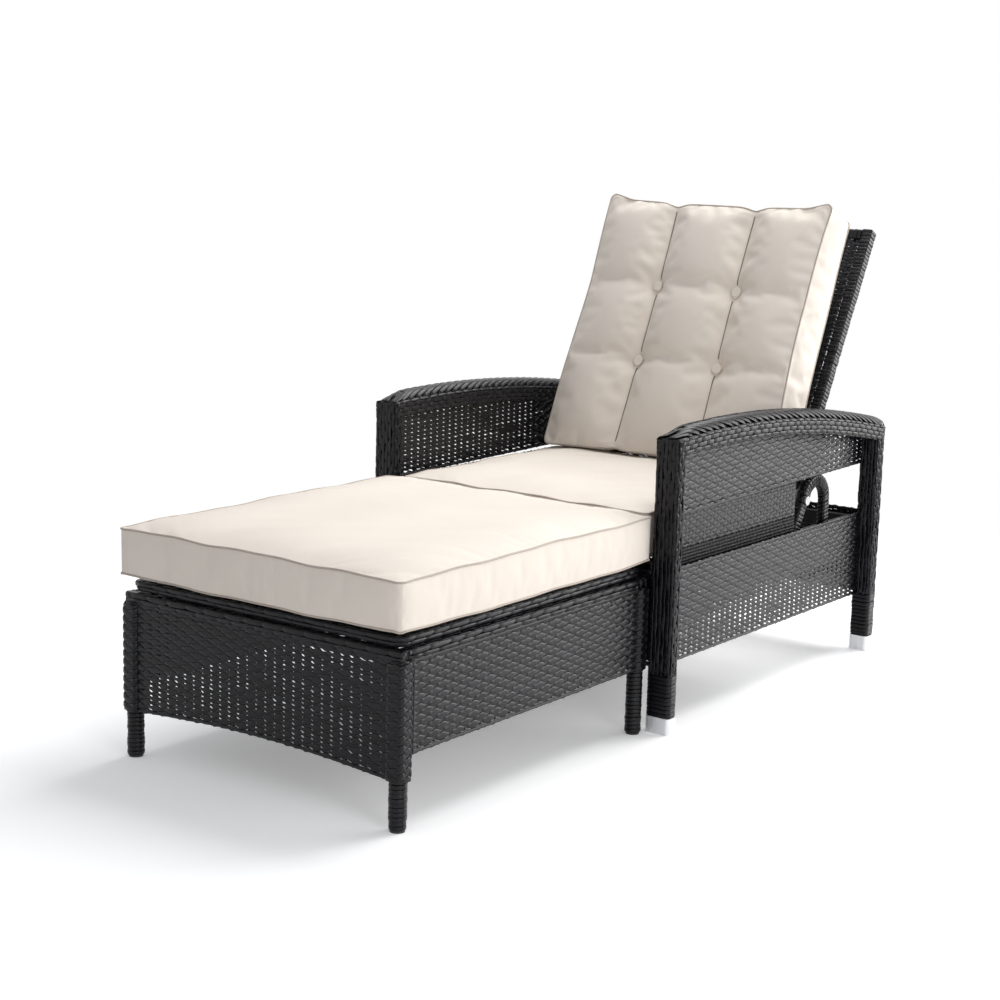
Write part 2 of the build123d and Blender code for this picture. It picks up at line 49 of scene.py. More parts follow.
# Strip and weave
strip_thickness = 0.0011
panel_row = 0.008
panel_strip = 0.0082
panel_stake = 0.0195
stake_width = 0.0054
stake_thickness = 0.0011
row_lift = 0.0005
row_sway = 0.0009
row_jitter = 0.0003
row_swell = 0.5
row_pinch = 0.16
hole_pinch = 0.28
dive_reach = 0.0058
swell_reach = 1.15 * dive_reach
hole_reach = 0.0030
edge_row_swell = 0.05
edge_width = 0.0056
edge_thickness = 0.0052
rope_width = 0.0062
rope_strip = 0.0034
post_row = 0.0078
post_stake = 0.030
wrap_pitch = 0.0078
wrap_strip = 0.0078
leg_wrap_pitch = 0.0072
leg_wrap_strip = 0.0072
rim_row = 0.0092
rail_tuck = 0.0035
end_tuck = 0.003
rim_stake = 0.042
core_depth = 0.0032

# Arms, as heights of the outer top edge at the front, the middle and the rear
arm_edge_heights = (0.528, 0.525, 0.468)
arm_side_height = 0.034
arm_crown = 0.014
arm_edge_radius = 0.004
arm_row = 0.0085
arm_brick = 0.028
arm_crown_run = 0.06
lashing_rows = 2
lashing_strip = 0.0078
lashing_bow = 0.0030
dip_reach = 0.0032

# Cushions
seam_inset = 0.004
box_low_seam, box_high_seam = 0.013, 0.086
box_crown = 0.007
box_swell = 0.009
box_corner = 0.013
box_cell = 0.010
box_waist = 0.003
cushion_tilt = math.radians(23.5)
tuft_column, tuft_heights = 0.092, (0.162, 0.324)
back_boxing = 0.084
tuft_depth = 0.008
back_half_width, back_length, back_corner, back_waist = 0.260, 0.512, 0.016, 0.008
back_foot_y, back_foot_z = 0.552091, 0.4018
back_lobe = 0.030
back_rear_crown = 0.036
back_cell = 0.009
back_swell = 0.020
crease_reach = 0.026
button_reach, button_held, button_clear = 0.024, 0.010, 0.012
piping_radius = 0.0018
sewn_line_radius = 0.0013
sewn_line_depth = 0.001
sewn_line_reach = 0.024
cloth_frames = 20

# Hinge arch
arch_front_foot = 0.538
arch_run = 0.1248
arch_lean = math.radians(30)
arch_bend_radius = 0.044
base_rail_top = 0.277
chair_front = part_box("front_post_left")[0].y

# Backrest: places across, up from the pivot and out of its front
pivot = Vector((0, 0.491673, 0.338))
back_tilt = math.radians(28.5)
stile_place, stile_foot, stile_top = 0.256, -0.022, 0.588
rail_reach, top_rail_place, bottom_rail_place = 0.244, 0.576, 0.021
back_tube_depth, back_tube_radius = 0.014, 0.005
back_panel_foot, back_panel_height, back_panel_depth = 0.034, 0.530, 0.010

# Footstool
rim_gap, rim_radius = 0.0008, 0.003
deck_frame_half_width = 0.010
sleeve_radius = 0.006
front_panel_rise = 0.013

# Studio
floor_lift = 0.27
lens, camera_place = 72, (2.0856, -2.993846, 1.0483)

rng = np.random.default_rng(7)


# Materials

def feed(tree, target, inputs):
    """Sets a node's inputs, by name or place, to values or from other nodes' sockets."""
    for name, value in inputs.items():
        socket = target.inputs[name.replace("_", " ") if isinstance(name, str) else name]
        if isinstance(value, bpy.types.NodeSocket):
            tree.links.new(value, socket)
        else:
            socket.default_value = value


def node(tree, kind, operation=None, **inputs):
    """A node with some of its inputs given by name."""
    made = tree.nodes.new(kind)
    if operation:
        made.operation = operation
    feed(tree, made, inputs)
    return made


def math_node(tree, operation, *values):
    """A Math node on sockets or numbers, and its output."""
    made = node(tree, "ShaderNodeMath", operation)
    feed(tree, made, dict(enumerate(values)))
    return made.outputs[0]


def noise(tree, place, scale, detail):
    return node(tree, "ShaderNodeTexNoise", Vector=place, Scale=scale, Detail=detail).outputs[0]


def ramp(tree, source, stops):
    """A colour ramp on a value, from (place, colour) stops."""
    made = node(tree, "ShaderNodeValToRGB", Fac=source)
    elements = made.color_ramp.elements
    while len(elements) < len(stops):
        elements.new(0.5)
    for element, (place, colour) in zip(elements, stops):
        element.position = place
        element.color = (*colour, 1)
    return made.outputs["Color"]


def new_material(name):
    """A material, its node tree and shader, and the place that is shaded."""
    material = bpy.data.materials.new(name)
    material.use_nodes = True
    tree = material.node_tree
    position = tree.nodes.new("ShaderNodeNewGeometry").outputs["Position"]
    return material, tree, tree.nodes["Principled BSDF"], position


def dress(tree, shader, colour, height, strength, distance, **looks):
    """Gives a shader its colour, its bump and its other inputs."""
    relief = node(tree, "ShaderNodeBump", Height=height, Strength=strength, Distance=distance)
    feed(tree, shader, {"Base Color": colour, "Normal": relief.outputs["Normal"], **looks})


def rattan_material():
    """Black plastic strip: fine lines along it, and each strip a little different."""
    material, tree, shader, position = new_material("rattan")
    mark = tree.nodes.new("ShaderNodeAttribute")
    mark.attribute_name = "strip"
    along, across, own = node(tree, "ShaderNodeSeparateXYZ", Vector=mark.outputs["Vector"]).outputs
    place = tree.nodes.new("ShaderNodeCombineXYZ")
    scales = ((along, 22.0), (across, 7.0), (own, 57.0))
    feed(tree, place, dict(enumerate(math_node(tree, "MULTIPLY", *pair) for pair in scales)))
    streak = noise(tree, place.outputs[0], 1.0, 3.0)
    tone = math_node(tree, "MULTIPLY_ADD", own, 0.45, math_node(tree, "MULTIPLY", streak, 0.55))
    colour = ramp(tree, tone, [(0.2, (0.002, 0.002, 0.003)), (0.5, (0.004, 0.004, 0.006)),
                               (0.8, (0.008, 0.008, 0.011))])
    cloud = noise(tree, position, 38.0, 4.0)
    rough = node(tree, "ShaderNodeMapRange", Value=cloud, To_Min=0.20, To_Max=0.32)
    lines = math_node(tree, "SINE", math_node(tree, "MULTIPLY", across, 44.0))
    height = math_node(tree, "MULTIPLY_ADD", lines, 0.35, streak)
    dress(tree, shader, colour, height, 0.35, 0.0004, Roughness=rough.outputs[0], Specular_IOR_Level=0.25)
    return material


def coated_tube_material():
    """Powder coated tube: near black, with the fine grain of the coat."""
    material, tree, shader, position = new_material("frame_tube")
    colour = ramp(tree, noise(tree, position, 14.0, 4.0),
                  [(0.3, (0.006, 0.006, 0.006)), (0.75, (0.012, 0.011, 0.011))])
    grain = noise(tree, position, 900.0, 2.0)
    dress(tree, shader, colour, grain, 0.3, 0.0003, Roughness=0.5, Specular_IOR_Level=0.2)
    return material


def metal_material(name, dark, light, roughness, brush, metallic=0.85):
    """Metal with fine brushed lines along Z and a cloudy sheen."""
    material, tree, shader, position = new_material(name)
    stretch = node(tree, "ShaderNodeMapping", Vector=position, Scale=(1.0, 1.0, brush))
    lines = noise(tree, stretch.outputs[0], 420.0, 3.0)
    colour = ramp(tree, lines, [(0.3, dark), (0.7, light)])
    rough = node(tree, "ShaderNodeMapRange", Value=lines, To_Min=roughness, To_Max=roughness + 0.18)
    dress(tree, shader, colour, lines, 0.15, 0.0002, Roughness=rough.outputs[0], Metallic=metallic)
    return material


def nylon_material():
    """Grey-black moulded nylon with a faint grain."""
    material, tree, shader, position = new_material("nylon")
    grain = noise(tree, position, 600.0, 2.0)
    colour = ramp(tree, grain, [(0.35, (0.02, 0.02, 0.021)), (0.7, (0.035, 0.035, 0.037))])
    dress(tree, shader, colour, grain, 0.25, 0.0003, Roughness=0.55)
    return material


def fabric_material(name, dark, light, thread=0.0009):
    """Plain woven cloth: crossed threads, faint slubs and a cloudy tone."""
    material, tree, shader, position = new_material(name)
    parts = node(tree, "ShaderNodeSeparateXYZ", Vector=position).outputs
    x, y, z = [math_node(tree, "SINE", math_node(tree, "MULTIPLY", part, math.tau / thread)) for part in parts]
    weave = math_node(tree, "MULTIPLY", x, y)
    for first, second in ((y, z), (x, z)):
        weave = math_node(tree, "ADD", weave, math_node(tree, "MULTIPLY", first, second))
    slub, cloud = noise(tree, position, 260.0, 3.0), noise(tree, position, 7.0, 4.0)
    tone = math_node(tree, "MULTIPLY_ADD", weave, 0.05, math_node(tree, "MULTIPLY", slub, 0.35))
    tone = math_node(tree, "MULTIPLY_ADD", cloud, 0.65, tone)
    colour = ramp(tree, tone, [(0.2, dark), (0.75, light)])
    height = math_node(tree, "MULTIPLY_ADD", slub, 0.6, weave)
    dress(tree, shader, colour, height, 0.18, 0.0003, Roughness=0.88, Specular_IOR_Level=0.2,
          Sheen_Weight=0.12, Sheen_Roughness=0.5)
    return material


rattan = rattan_material()
frame_tube = coated_tube_material()
cap_metal = metal_material("cap_metal", (0.82, 0.83, 0.85), (0.92, 0.93, 0.94), 0.3, 0.08, 0.5)
steel = metal_material("steel", (0.42, 0.42, 0.43), (0.58, 0.58, 0.59), 0.32, 0.3)
nylon = nylon_material()
fabric = fabric_material("cushion_fabric", (0.79, 0.713, 0.635), (0.85, 0.77, 0.69))
piping_cloth = fabric_material("piping_cloth", (0.42, 0.36, 0.31), (0.56, 0.49, 0.43))
# Painted shade: this dark cord colour stands in for the shadow in the valley along each sewn line.
painted_seam_shade = fabric_material("painted_seam_shade", (0.15, 0.125, 0.105), (0.24, 0.20, 0.17))


# Lines, outlines and surfaces that strip lies on

def unit(vectors):
    return vectors / np.linalg.norm(vectors, axis=-1, keepdims=True)


class Line:
    """A line of points, closed or not, read by the length run along it."""

    def __init__(self, points, closed):
        points = np.array([tuple(point) for point in points], float)
        self.closed = closed
        self.points = np.vstack([points, points[:1]]) if closed else points
        steps = np.linalg.norm(np.diff(self.points, axis=0), axis=1)
        self.run = np.concatenate([[0], np.cumsum(steps)])
        self.length = self.run[-1]

    def at(self, along):
        along = along % self.length if self.closed else along
        return np.stack([np.interp(along, self.run, part) for part in self.points.T], -1)

    def ahead(self, along, step):
        return unit(self.at(along + step) - self.at(along - step))


class Outline(Line):
    """The closed outline of a member's section. corner is the length of its first round corner."""

    def __init__(self, points, corner=0.0):
        super().__init__(points, True)
        self.corner = corner

    def normal(self, around, step=0.001):
        ahead = self.ahead(around, step)
        return np.stack([ahead[..., 1], -ahead[..., 0]], -1)


class Path(Line):
    """The line that a member runs along, with one axis of its section held."""

    def __init__(self, points, axis, closed=False):
        super().__init__(points, closed)
        self.axis = np.array(tuple(axis), float)

    def other_axis(self, along, step=0.003):
        return np.cross(self.ahead(along, step), self.axis)


def round_rectangle(half_a, half_b, radius, steps=6):
    """The outline of a rectangle with round corners, counter-clockwise from its first corner."""
    points = []
    for turn, (side_a, side_b) in enumerate(((1, 1), (-1, 1), (-1, -1), (1, -1))):
        centre = (side_a * (half_a - radius), side_b * (half_b - radius))
        for step in range(steps + 1):
            angle = math.pi / 2 * (turn + step / steps)
            points.append((centre[0] + radius * math.cos(angle), centre[1] + radius * math.sin(angle)))
    return Outline(points, math.pi / 2 * radius)


def circle(radius, steps=40):
    angles = [math.tau * step / steps for step in range(steps)]
    return Outline([(radius * math.cos(angle), radius * math.sin(angle)) for angle in angles])


def round_corner(before, corner, after, radius, steps=14):
    """Points of the arc that rounds a corner between two straight runs."""
    before, corner, after = Vector(before), Vector(corner), Vector(after)
    back, ahead = (before - corner).normalized(), (after - corner).normalized()
    half_angle = back.angle(ahead) / 2
    centre = corner + (back + ahead).normalized() * radius / math.sin(half_angle)
    start = corner + back * radius / math.tan(half_angle) - centre
    end = corner + ahead * radius / math.tan(half_angle) - centre
    return [centre + start.slerp(end, step / steps, start).normalized() * radius for step in range(steps + 1)]


def flat_surface(origin, along, across, facing=1):
    """A plane from a corner, with its two directions and the side that it shows."""
    origin, along, across = (np.array(tuple(part), float) for part in (origin, along, across))
    normal = np.cross(along, across) * facing

    def surface(run, side):
        point = origin + run[..., None] * along + side[..., None] * across
        return point, np.broadcast_to(normal, point.shape)
    return surface


def member_surface(path, outline, lengthwise):
    """The skin of a member, for strip that runs along it or is wrapped round it."""
    def surface(run, side):
        along, around = (run, side) if lengthwise else (side, run)
        section = outline.at(around)
        normal = outline.normal(around)
        other = path.other_axis(along)
        point = path.at(along) + section[..., :1] * path.axis + section[..., 1:] * other
        return point, normal[..., :1] * path.axis + normal[..., 1:] * other
    return surface


# Strip, and the pieces made of it

strip_profile = np.array([(-0.5, 0.1), (-0.42, 0.72), (-0.22, 1), (0.22, 1), (0.42, 0.72), (0.5, 0.1),
                          (0.3, -0.2), (-0.3, -0.2)])
strip_caps = np.array([(0, 1, 4, 5), (1, 2, 3, 4), (0, 5, 6, 7)])
stake_profile = np.array([(-0.5, 0), (-0.3, 0.5), (0.3, 0.5), (0.5, 0), (0.3, -0.5), (-0.3, -0.5)])
stake_caps = np.array([(0, 1, 2, 3), (0, 3, 4, 5)])


def tube_faces(rings, sides, closed=False):
    """Faces between rings of points that follow one another, by ring and by place round it."""
    ring = np.arange(rings if closed else rings - 1)[:, None]
    corner = np.arange(sides)[None, :]
    ahead, beside = (ring + 1) % rings, (corner + 1) % sides
    return np.stack([ring * sides + corner, ahead * sides + corner, ahead * sides + beside,
                     ring * sides + beside], -1)


def shows_back(vertices, quad, normal):
    """Whether a face turns its back to the side that a normal points to."""
    a, b, c = (vertices.reshape(-1, 3)[index] for index in quad[:3])
    return np.cross(b - a, c - a) @ normal < 0


class Strips:
    """Gathers lengths of strip into one mesh, each with its own mark for the material."""

    def __init__(self):
        self.vertices, self.marks, self.quads, self.ends, self.count = [], [], [], [], 0

    def lay(self, surface, run, side, width, lift, thickness=strip_thickness, closed=False,
            profile=strip_profile, caps=strip_caps, tilt=0.0):
        """One length of strip on a surface, along run and beside it at side."""
        run, side, width, lift, tilt = np.broadcast_arrays(run, side, width, lift, tilt)
        offset = width[:, None] * profile[:, 0]
        place = side[:, None] + offset
        point, normal = surface(np.broadcast_to(run[:, None], place.shape), place)
        rise = lift[:, None] + thickness * profile[:, 1] + tilt[:, None] * profile[:, 0]
        vertices = point + normal * rise[..., None]
        count, sides = place.shape
        quads = tube_faces(count, sides, closed)
        turned = shows_back(vertices, quads[0, 2], normal[0, 2])
        quads = quads.reshape(-1, 4)
        if not closed:
            quads = np.vstack([quads, caps, caps[:, ::-1] + (count - 1) * sides])
        if turned:
            quads = quads[:, ::-1]
        mark = np.stack([np.broadcast_to(run[:, None], place.shape),
                         np.broadcast_to(profile[:, 0], place.shape),
                         np.full(place.shape, rng.random())], -1)
        self.take(vertices.reshape(-1, 3), mark.reshape(-1, 3), quads)

    def take(self, vertices, marks, quads, ends=()):
        self.vertices.append(vertices)
        self.marks.append(marks)
        self.quads.append(quads + self.count)
        self.ends.extend([corner + self.count for corner in end] for end in ends)
        self.count += len(vertices)

    def core(self, surface, outline, stations, depth=core_depth, sides=28):
        """The dark member under the strip, closed at both ends."""
        around = np.linspace(0, outline.length, sides, endpoint=False)
        along = np.array(stations, float)
        run, side = np.meshgrid(around, along)
        point, normal = surface(run, side)
        vertices = point - normal * depth
        quads = tube_faces(len(along), sides)[..., [0, 3, 2, 1]]
        turned = shows_back(vertices, quads[0, 0], normal[0, 0])
        quads = quads.reshape(-1, 4)
        last = (len(along) - 1) * sides
        ends = [list(range(sides))[::-1], [last + corner for corner in range(sides)]]
        if turned:
            quads = quads[:, ::-1]
            ends = [end[::-1] for end in ends]
        marks = np.zeros((vertices.shape[0] * sides, 3))
        self.take(vertices.reshape(-1, 3), marks, quads, ends)

    def piece(self, name, body, stands_for, material=None):
        """Makes the mesh, and says what it rides on and stands for."""
        mesh = bpy.data.meshes.new(name)
        vertices, quads = np.vstack(self.vertices), np.vstack(self.quads)
        corners = np.concatenate([quads.ravel()] + [np.array(end) for end in self.ends])
        sizes = np.concatenate([np.full(len(quads), 4), [len(end) for end in self.ends]]).astype(int)
        mesh.vertices.add(len(vertices))
        mesh.vertices.foreach_set("co", vertices.ravel())
        mesh.loops.add(len(corners))
        mesh.loops.foreach_set("vertex_index", corners.astype(np.int32))
        mesh.polygons.add(len(sizes))
        starts = np.concatenate([[0], np.cumsum(sizes)[:-1]]).astype(np.int32)
        mesh.polygons.foreach_set("loop_start", starts)
        mesh.update(calc_edges=True)
        mesh.validate()
        mesh.shade_smooth()
        attribute = mesh.attributes.new("strip", "FLOAT_VECTOR", "POINT")
        attribute.data.foreach_set("vector", np.vstack(self.marks).ravel().astype(np.float32))
        return place_piece(name, mesh, body, stands_for, material or rattan)


def add_object(name, data):
    made = bpy.data.objects.new(name, data)
    bpy.context.scene.collection.objects.link(made)
    return made


def place_piece(name, mesh, body, stands_for, material):
    mesh.materials.append(material)
    made = add_object(name, mesh)
    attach(made, body)
    if stands_for:
        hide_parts(*stands_for)
    return made


def stations(start, end, *places):
    """Places along a strip from its start to its end, in order and each once."""
    run = np.concatenate([[start, end], *places])
    return np.unique(np.round(run[(run >= start) & (run <= end)], 5))


def crosswise(surface):
    """A surface whose strip runs across it."""
    return lambda run, side: surface(side, run)


def weave_row(strips, surface, number, place, start, end, stake, width, lift=row_lift, openness=0.3,
              bulge=row_swell):
    """A strip that floats over one stake and dips under the next, in turn with its neighbours.

    place gives its height, openness how much it narrows at the holes beside the stakes, and bulge how
    much it widens where it floats."""
    dives = np.arange(stake * (0.5 + number % 2) - 2 * stake, end + 2 * stake, 2 * stake)
    near = (dives[:, None] + dive_reach * np.array([-1.1, -0.7, 0, 0.7, 1.1])).ravel()
    floating = np.array([0.38, 0.5, 0.62, 0.8, 1.0, 1.2, 1.38, 1.5, 1.62])
    between = (dives[:, None] + stake * floating).ravel()
    run = stations(start, end, near, between)
    nearest = np.argmin(np.abs(run[:, None] - dives[None, :]), axis=1)
    gap = run - dives[nearest]
    dip = np.exp(-(gap / dive_reach) ** 4)
    swell = np.exp(-((stake - np.abs(gap)) / swell_reach) ** 2)
    share = openness(run) if callable(openness) else openness
    opened = share * np.clip(rng.normal(0.85, 0.35, len(dives)), 0.1, 1.6)[nearest]
    slack, raised, turned = (np.interp(run, dives, rng.normal(0, 1, len(dives))) for _ in range(3))
    side = place(run) + row_sway * np.sin(math.tau * gap / stake) + row_jitter * slack
    hole = np.exp(-((np.abs(gap) - stake / 2) / hole_reach) ** 2)
    own_width = width * (1.02 + 0.01 * rng.normal() + bulge * swell - row_pinch * dip
                         - hole_pinch * opened * hole)
    own_lift = lift * (1 - 2 * dip) + 0.2 * lift * swell + 0.1 * lift * raised
    strips.lay(surface, run, side, own_width, own_lift, tilt=0.25 * lift * turned)


def woven_panel(strips, surface, length, low, high, cut=False, row=panel_row, stake=panel_stake,
                width=panel_strip, lift=row_lift, openness=None):
    """Rows of strip from a low edge to a high one. Where cut, rows keep their pitch and stop there.

    openness gives, for shares along and up the panel, how far the rows stand apart."""
    spots = np.linspace(0, length, 200)
    tallest = float(np.max(high(spots) - low(spots)))
    rows = max(2, round(tallest / row))
    stakes = round(length / stake)
    stake = length / stakes
    for number in range(rows):
        share = (number + 0.5) / rows
        if cut:
            level = tallest * share
            inside = spots[low(spots) + level < high(spots)]
            if len(inside) < 6:
                continue
            place = lambda run, level=level: low(run) + level
            start, end = inside[0], inside[-1]
        else:
            place = lambda run, share=share: low(run) + share * (high(run) - low(run))
            start, end = 0, length
        opened = 0.25
        if openness:
            opened = lambda run, share=share: openness(run / length, share)
        bulge = edge_row_swell if number in (0, rows - 1) else row_swell
        weave_row(strips, surface, number, place, start, end, stake, width, lift, opened, bulge)
    for number in range(stakes):
        spot = np.array([(number + 0.5) * stake])
        top, bottom = float(high(spot)[0]), float(low(spot)[0])
        if top - bottom < row:
            continue
        run = np.linspace(bottom, top, max(2, round((top - bottom) / 0.02)))
        strips.lay(crosswise(surface), run, spot[0] + rng.normal(0, 0.0004), stake_width, 0.0, stake_thickness,
                   profile=stake_profile, caps=stake_caps)


def edge_strand(strips, surface, start, end, place, width=edge_width, thickness=edge_thickness, lift=0.0):
    """A full round strand along a panel's edge, a little uneven."""
    run = np.linspace(start, end, max(3, round((end - start) / 0.012)))
    strips.lay(surface, run, place(run) + rng.normal(0, 0.0002, len(run)), width, lift, thickness,
               profile=stake_profile, caps=stake_caps)


def footed_panel(name, body, surface, length, foot, top, **looks):
    """A woven panel with an edge strand along its shaped foot."""
    strips = Strips()
    woven_panel(strips, surface, length, foot, top, **looks)
    edge_strand(strips, surface, 0, length, lambda run: foot(run) + edge_width / 2)
    strips.piece(f"{name}_weave", body, [name])


def brick_run(start, end, spacing, shift):
    """Places along a strip with more of them where it dips, and how far it dips there, from 0 to 1."""
    dips = np.arange(start + shift * spacing, end, spacing)
    dips = dips + rng.normal(0, spacing * 0.06, len(dips))
    near = (dips[:, None] + dip_reach * np.array([-1.6, -0.8, 0, 0.8, 1.6])).ravel()
    between = (dips[:, None] + spacing * np.array([0.3, 0.5, 0.7])).ravel()
    run = stations(start, end, near, between)
    gap = np.full(len(run), spacing)
    if len(dips):
        gap = np.min(np.abs(run[:, None] - dips[None, :]), axis=1)
    return run, np.exp(-(gap / dip_reach) ** 2), dips[(dips > start) & (dips < end)]


def woven_member(strips, surface, places, pitch, start, end, spacing, dip=0.0014, inset=0.0018,
                 sway=0.0003, joint_width=0.0):
    """Strip that runs along a member in rows, each dipping under a short hidden wrap in turn."""
    knots = np.arange(start, end + spacing, spacing / 2)
    for number, place in enumerate(places):
        run, dips, joints = brick_run(start, end, spacing, 0.25 + 0.5 * (number % 2))
        wander, lean = [np.interp(run, knots, rng.normal(0, sway, len(knots))) for _ in range(2)]
        strips.lay(surface, run, place + wander, pitch * (1 - 0.25 * dips),
                   -inset - dip * dips + rng.normal(0, 0.00015), tilt=1.5 * lean)
        for joint in joints if joint_width else ():
            across = place + pitch * np.array([-0.52, -0.2, 0.2, 0.52])
            strips.lay(crosswise(surface), across, joint, joint_width, -inset - dip * np.array([0.9, 0.3, 0.3, 0.9]))


def even_places(outline, pitch):
    """Places of an even number of rows right round a member, with an edge of one on its first corner."""
    rows = 2 * round(outline.length / pitch / 2)
    first = outline.corner / 2
    return first + (np.arange(rows) + 0.5) * outline.length / rows, outline.length / rows


def wrapped_member(strips, path, outline, start, end, pitch=wrap_pitch, width=wrap_strip, slant=0.0006,
                   sides=32, inset=0.0017, lift=0.0003):
    """Strip wound round a member, turn beside turn."""
    surface = member_surface(path, outline, False)
    turns = max(1, round((end - start) / pitch))
    pitch = (end - start) / turns
    around = np.linspace(0, outline.length, sides, endpoint=False)
    for number in range(turns):
        lean = slant * np.sin(math.tau * around / outline.length + rng.normal(0, 0.5))
        side = start + (number + 0.5) * pitch + lean + rng.normal(0, pitch * 0.02)
        strips.lay(surface, around, side, width * pitch / wrap_pitch if width == wrap_strip else width,
                   rng.normal(0, lift) - inset, closed=True, tilt=rng.normal(0, lift))


def member_core(strips, path, outline, start, end, count=2, depth=core_depth):
    strips.core(member_surface(path, outline, False), outline, np.linspace(start, end, count), depth)


def wrapped_piece(name, body, path, outline, count=2, **looks):
    """A member wrapped from end to end, with its core."""
    strips = Strips()
    wrapped_member(strips, path, outline, 0, path.length, **looks)
    member_core(strips, path, outline, 0, path.length, count)
    strips.piece(f"{name}_wrap", body, [name])


def rim_piece(name, path, half_height, half_width, margin=0.0, count=2):
    """A member of the footstool's rim: rows of strip along it, with its core."""
    outline = round_rectangle(half_height - rim_gap, half_width, rim_radius)
    strips = Strips()
    places, pitch = even_places(outline, rim_row)
    woven_member(strips, member_surface(path, outline, True), places, pitch, 0, path.length, rim_stake)
    member_core(strips, path, outline, margin, path.length - margin, count)
    strips.piece(f"{name}_weave", "footstool", [name])


def smooth(value, low, high):
    """A smooth step from 0 at low to 1 at high."""
    share = np.clip((value - low) / (high - low), 0, 1)
    return share * share * (3 - 2 * share)


def level(value):
    """An edge that stays at one height."""
    return lambda run: np.full_like(np.asarray(run, float), value)


def both_sides():
    return (("left", 1), ("right", -1))


# Chair

def arm_circle():
    """Centre and radius, in the YZ plane, of the arc of the arm's outer top edge."""
    low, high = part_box("arm_left")
    points = [complex(y, z) for y, z in zip((low.y, (low.y + high.y) / 2, high.y), arm_edge_heights)]
    a, b, c = points
    w = (c - a) / (b - a)
    centre = (b - a) * (w - abs(w) ** 2) / (2j * w.imag) + a
    return centre, abs(a - centre)


def arm_edge(y):
    """Height of the arm's outer top edge at a place along the chair."""
    centre, radius = arm_circle()
    return centre.imag + np.sqrt(radius ** 2 - (np.asarray(y) - centre.real) ** 2)


def post_pieces():
    """The posts: rows of strip along them, and turns of it between the skirts and the foot caps."""
    cap_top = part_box("foot_caps")[1].z
    for side_name, _ in both_sides():
        for end_name in ("front", "rear"):
            name = f"{end_name}_post_{side_name}"
            low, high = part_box(name)
            centre = (low + high) / 2
            skirt_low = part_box(f"side_skirt_{side_name}")[0].z
            top = float(arm_edge(low.y if end_name == "front" else high.y)) - 0.004
            outline = round_rectangle((high.x - low.x) / 2, (high.y - low.y) / 2, 0.007)
            path = Path([(centre.x, centre.y, 0), (centre.x, centre.y, top)], (1, 0, 0))
            strips = Strips()
            change = skirt_low - (0.012 if end_name == "front" else 0.0)
            places, pitch = even_places(outline, post_row)
            woven_member(strips, member_surface(path, outline, True), places, pitch, change, top, post_stake,
                         sway=0.0007)
            wrapped_member(strips, path, outline, cap_top + 0.0015, change, slant=0.0004)
            member_core(strips, path, outline, cap_top - 0.004, top - 0.002)
            strips.piece(f"{name}_weave", "chair", [name])


def arm_section():
    """Outline of the arm across its width: a flat foot, sides and a crowned top."""
    low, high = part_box("arm_left")
    half = (high.x - low.x) / 2
    radius = arm_edge_radius
    points = []
    for step in range(13):
        share = step / 12
        a = half - radius - 2 * (half - radius) * share
        points.append((a, arm_crown * (1 - (1 - 2 * share) ** 2) ** 0.8))
    crown = len(points) - 1
    corner = [(-half, -radius), (-half, -arm_side_height + radius), (-half + radius, -arm_side_height),
              (half - radius, -arm_side_height), (half, -arm_side_height + radius), (half, -radius)]
    outline = Outline(points + corner)
    return outline, outline.run[crown]


def arm_surface(path, outline, lengthwise):
    """The arm's skin: its crown rises from nothing behind the front post."""
    def surface(run, side):
        along, around = (run, side) if lengthwise else (side, run)
        section, normal = outline.at(around), outline.normal(around)
        risen = smooth(along, 0.0, arm_crown_run)
        height = np.where(section[..., 1] > 0, section[..., 1] * risen, section[..., 1])
        other = path.other_axis(along)
        other = other * np.sign(other[..., 2:])
        point = path.at(along) + section[..., :1] * path.axis + height[..., None] * other
        return point, normal[..., :1] * path.axis + normal[..., 1:] * other
    return surface


def lashings(strips, surface, place, width, start, end, slant=math.radians(20), strip=lashing_strip,
             rise=lashing_bow, inset=0.0022, steps=9):
    """A row of short strips laid aslant, each bowed up between its ends, like the lay of a rope."""
    reach = width / math.sin(slant)
    pitch = strip / math.sin(slant)
    for number in range(int((end - start) / pitch)):
        middle = start + (number + 0.5) * pitch + rng.normal(0, pitch * 0.04)
        run = np.linspace(-reach / 2, reach / 2, steps)
        bow = np.cos(math.pi * run / reach) ** 0.7
        lean = slant * (1 + rng.normal(0, 0.04))

        def turned(run, side, middle=middle, lean=lean):
            along = middle + run * math.cos(lean) - side * math.sin(lean)
            around = place + run * math.sin(lean) + side * math.cos(lean)
            return surface(np.clip(along, start, end), around)
        strips.lay(turned, run, 0.0, strip * 1.08, rise * bow - inset, tilt=rng.normal(0, rise * 0.1))


def arm_pieces():
    outline, crown = arm_section()
    for side_name, side in both_sides():
        name = f"arm_{side_name}"
        low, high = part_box(name)
        x = (low.x + high.x) / 2
        ys = np.linspace(low.y + 0.003, high.y - 0.001, 40)
        path = Path([(x, y, z) for y, z in zip(ys, arm_edge(ys))], (-side, 0, 0))
        strips = Strips()
        surface = arm_surface(path, outline, True)
        rows = round((outline.length - crown) / arm_row)
        pitch = (outline.length - crown) / rows
        places = crown + (np.arange(rows) + 0.5) * pitch
        woven_member(strips, surface, places, pitch, 0.0, path.length, arm_brick, joint_width=0.0034)
        row_width = crown / lashing_rows
        for row in range(lashing_rows):
            lashings(strips, surface, (row + 0.5) * row_width, row_width, 0.002, path.length - 0.002)
        strips.core(arm_surface(path, outline, False), outline, np.linspace(0.002, path.length - 0.002, 24))
        strips.piece(f"{name}_weave", "chair", [name])


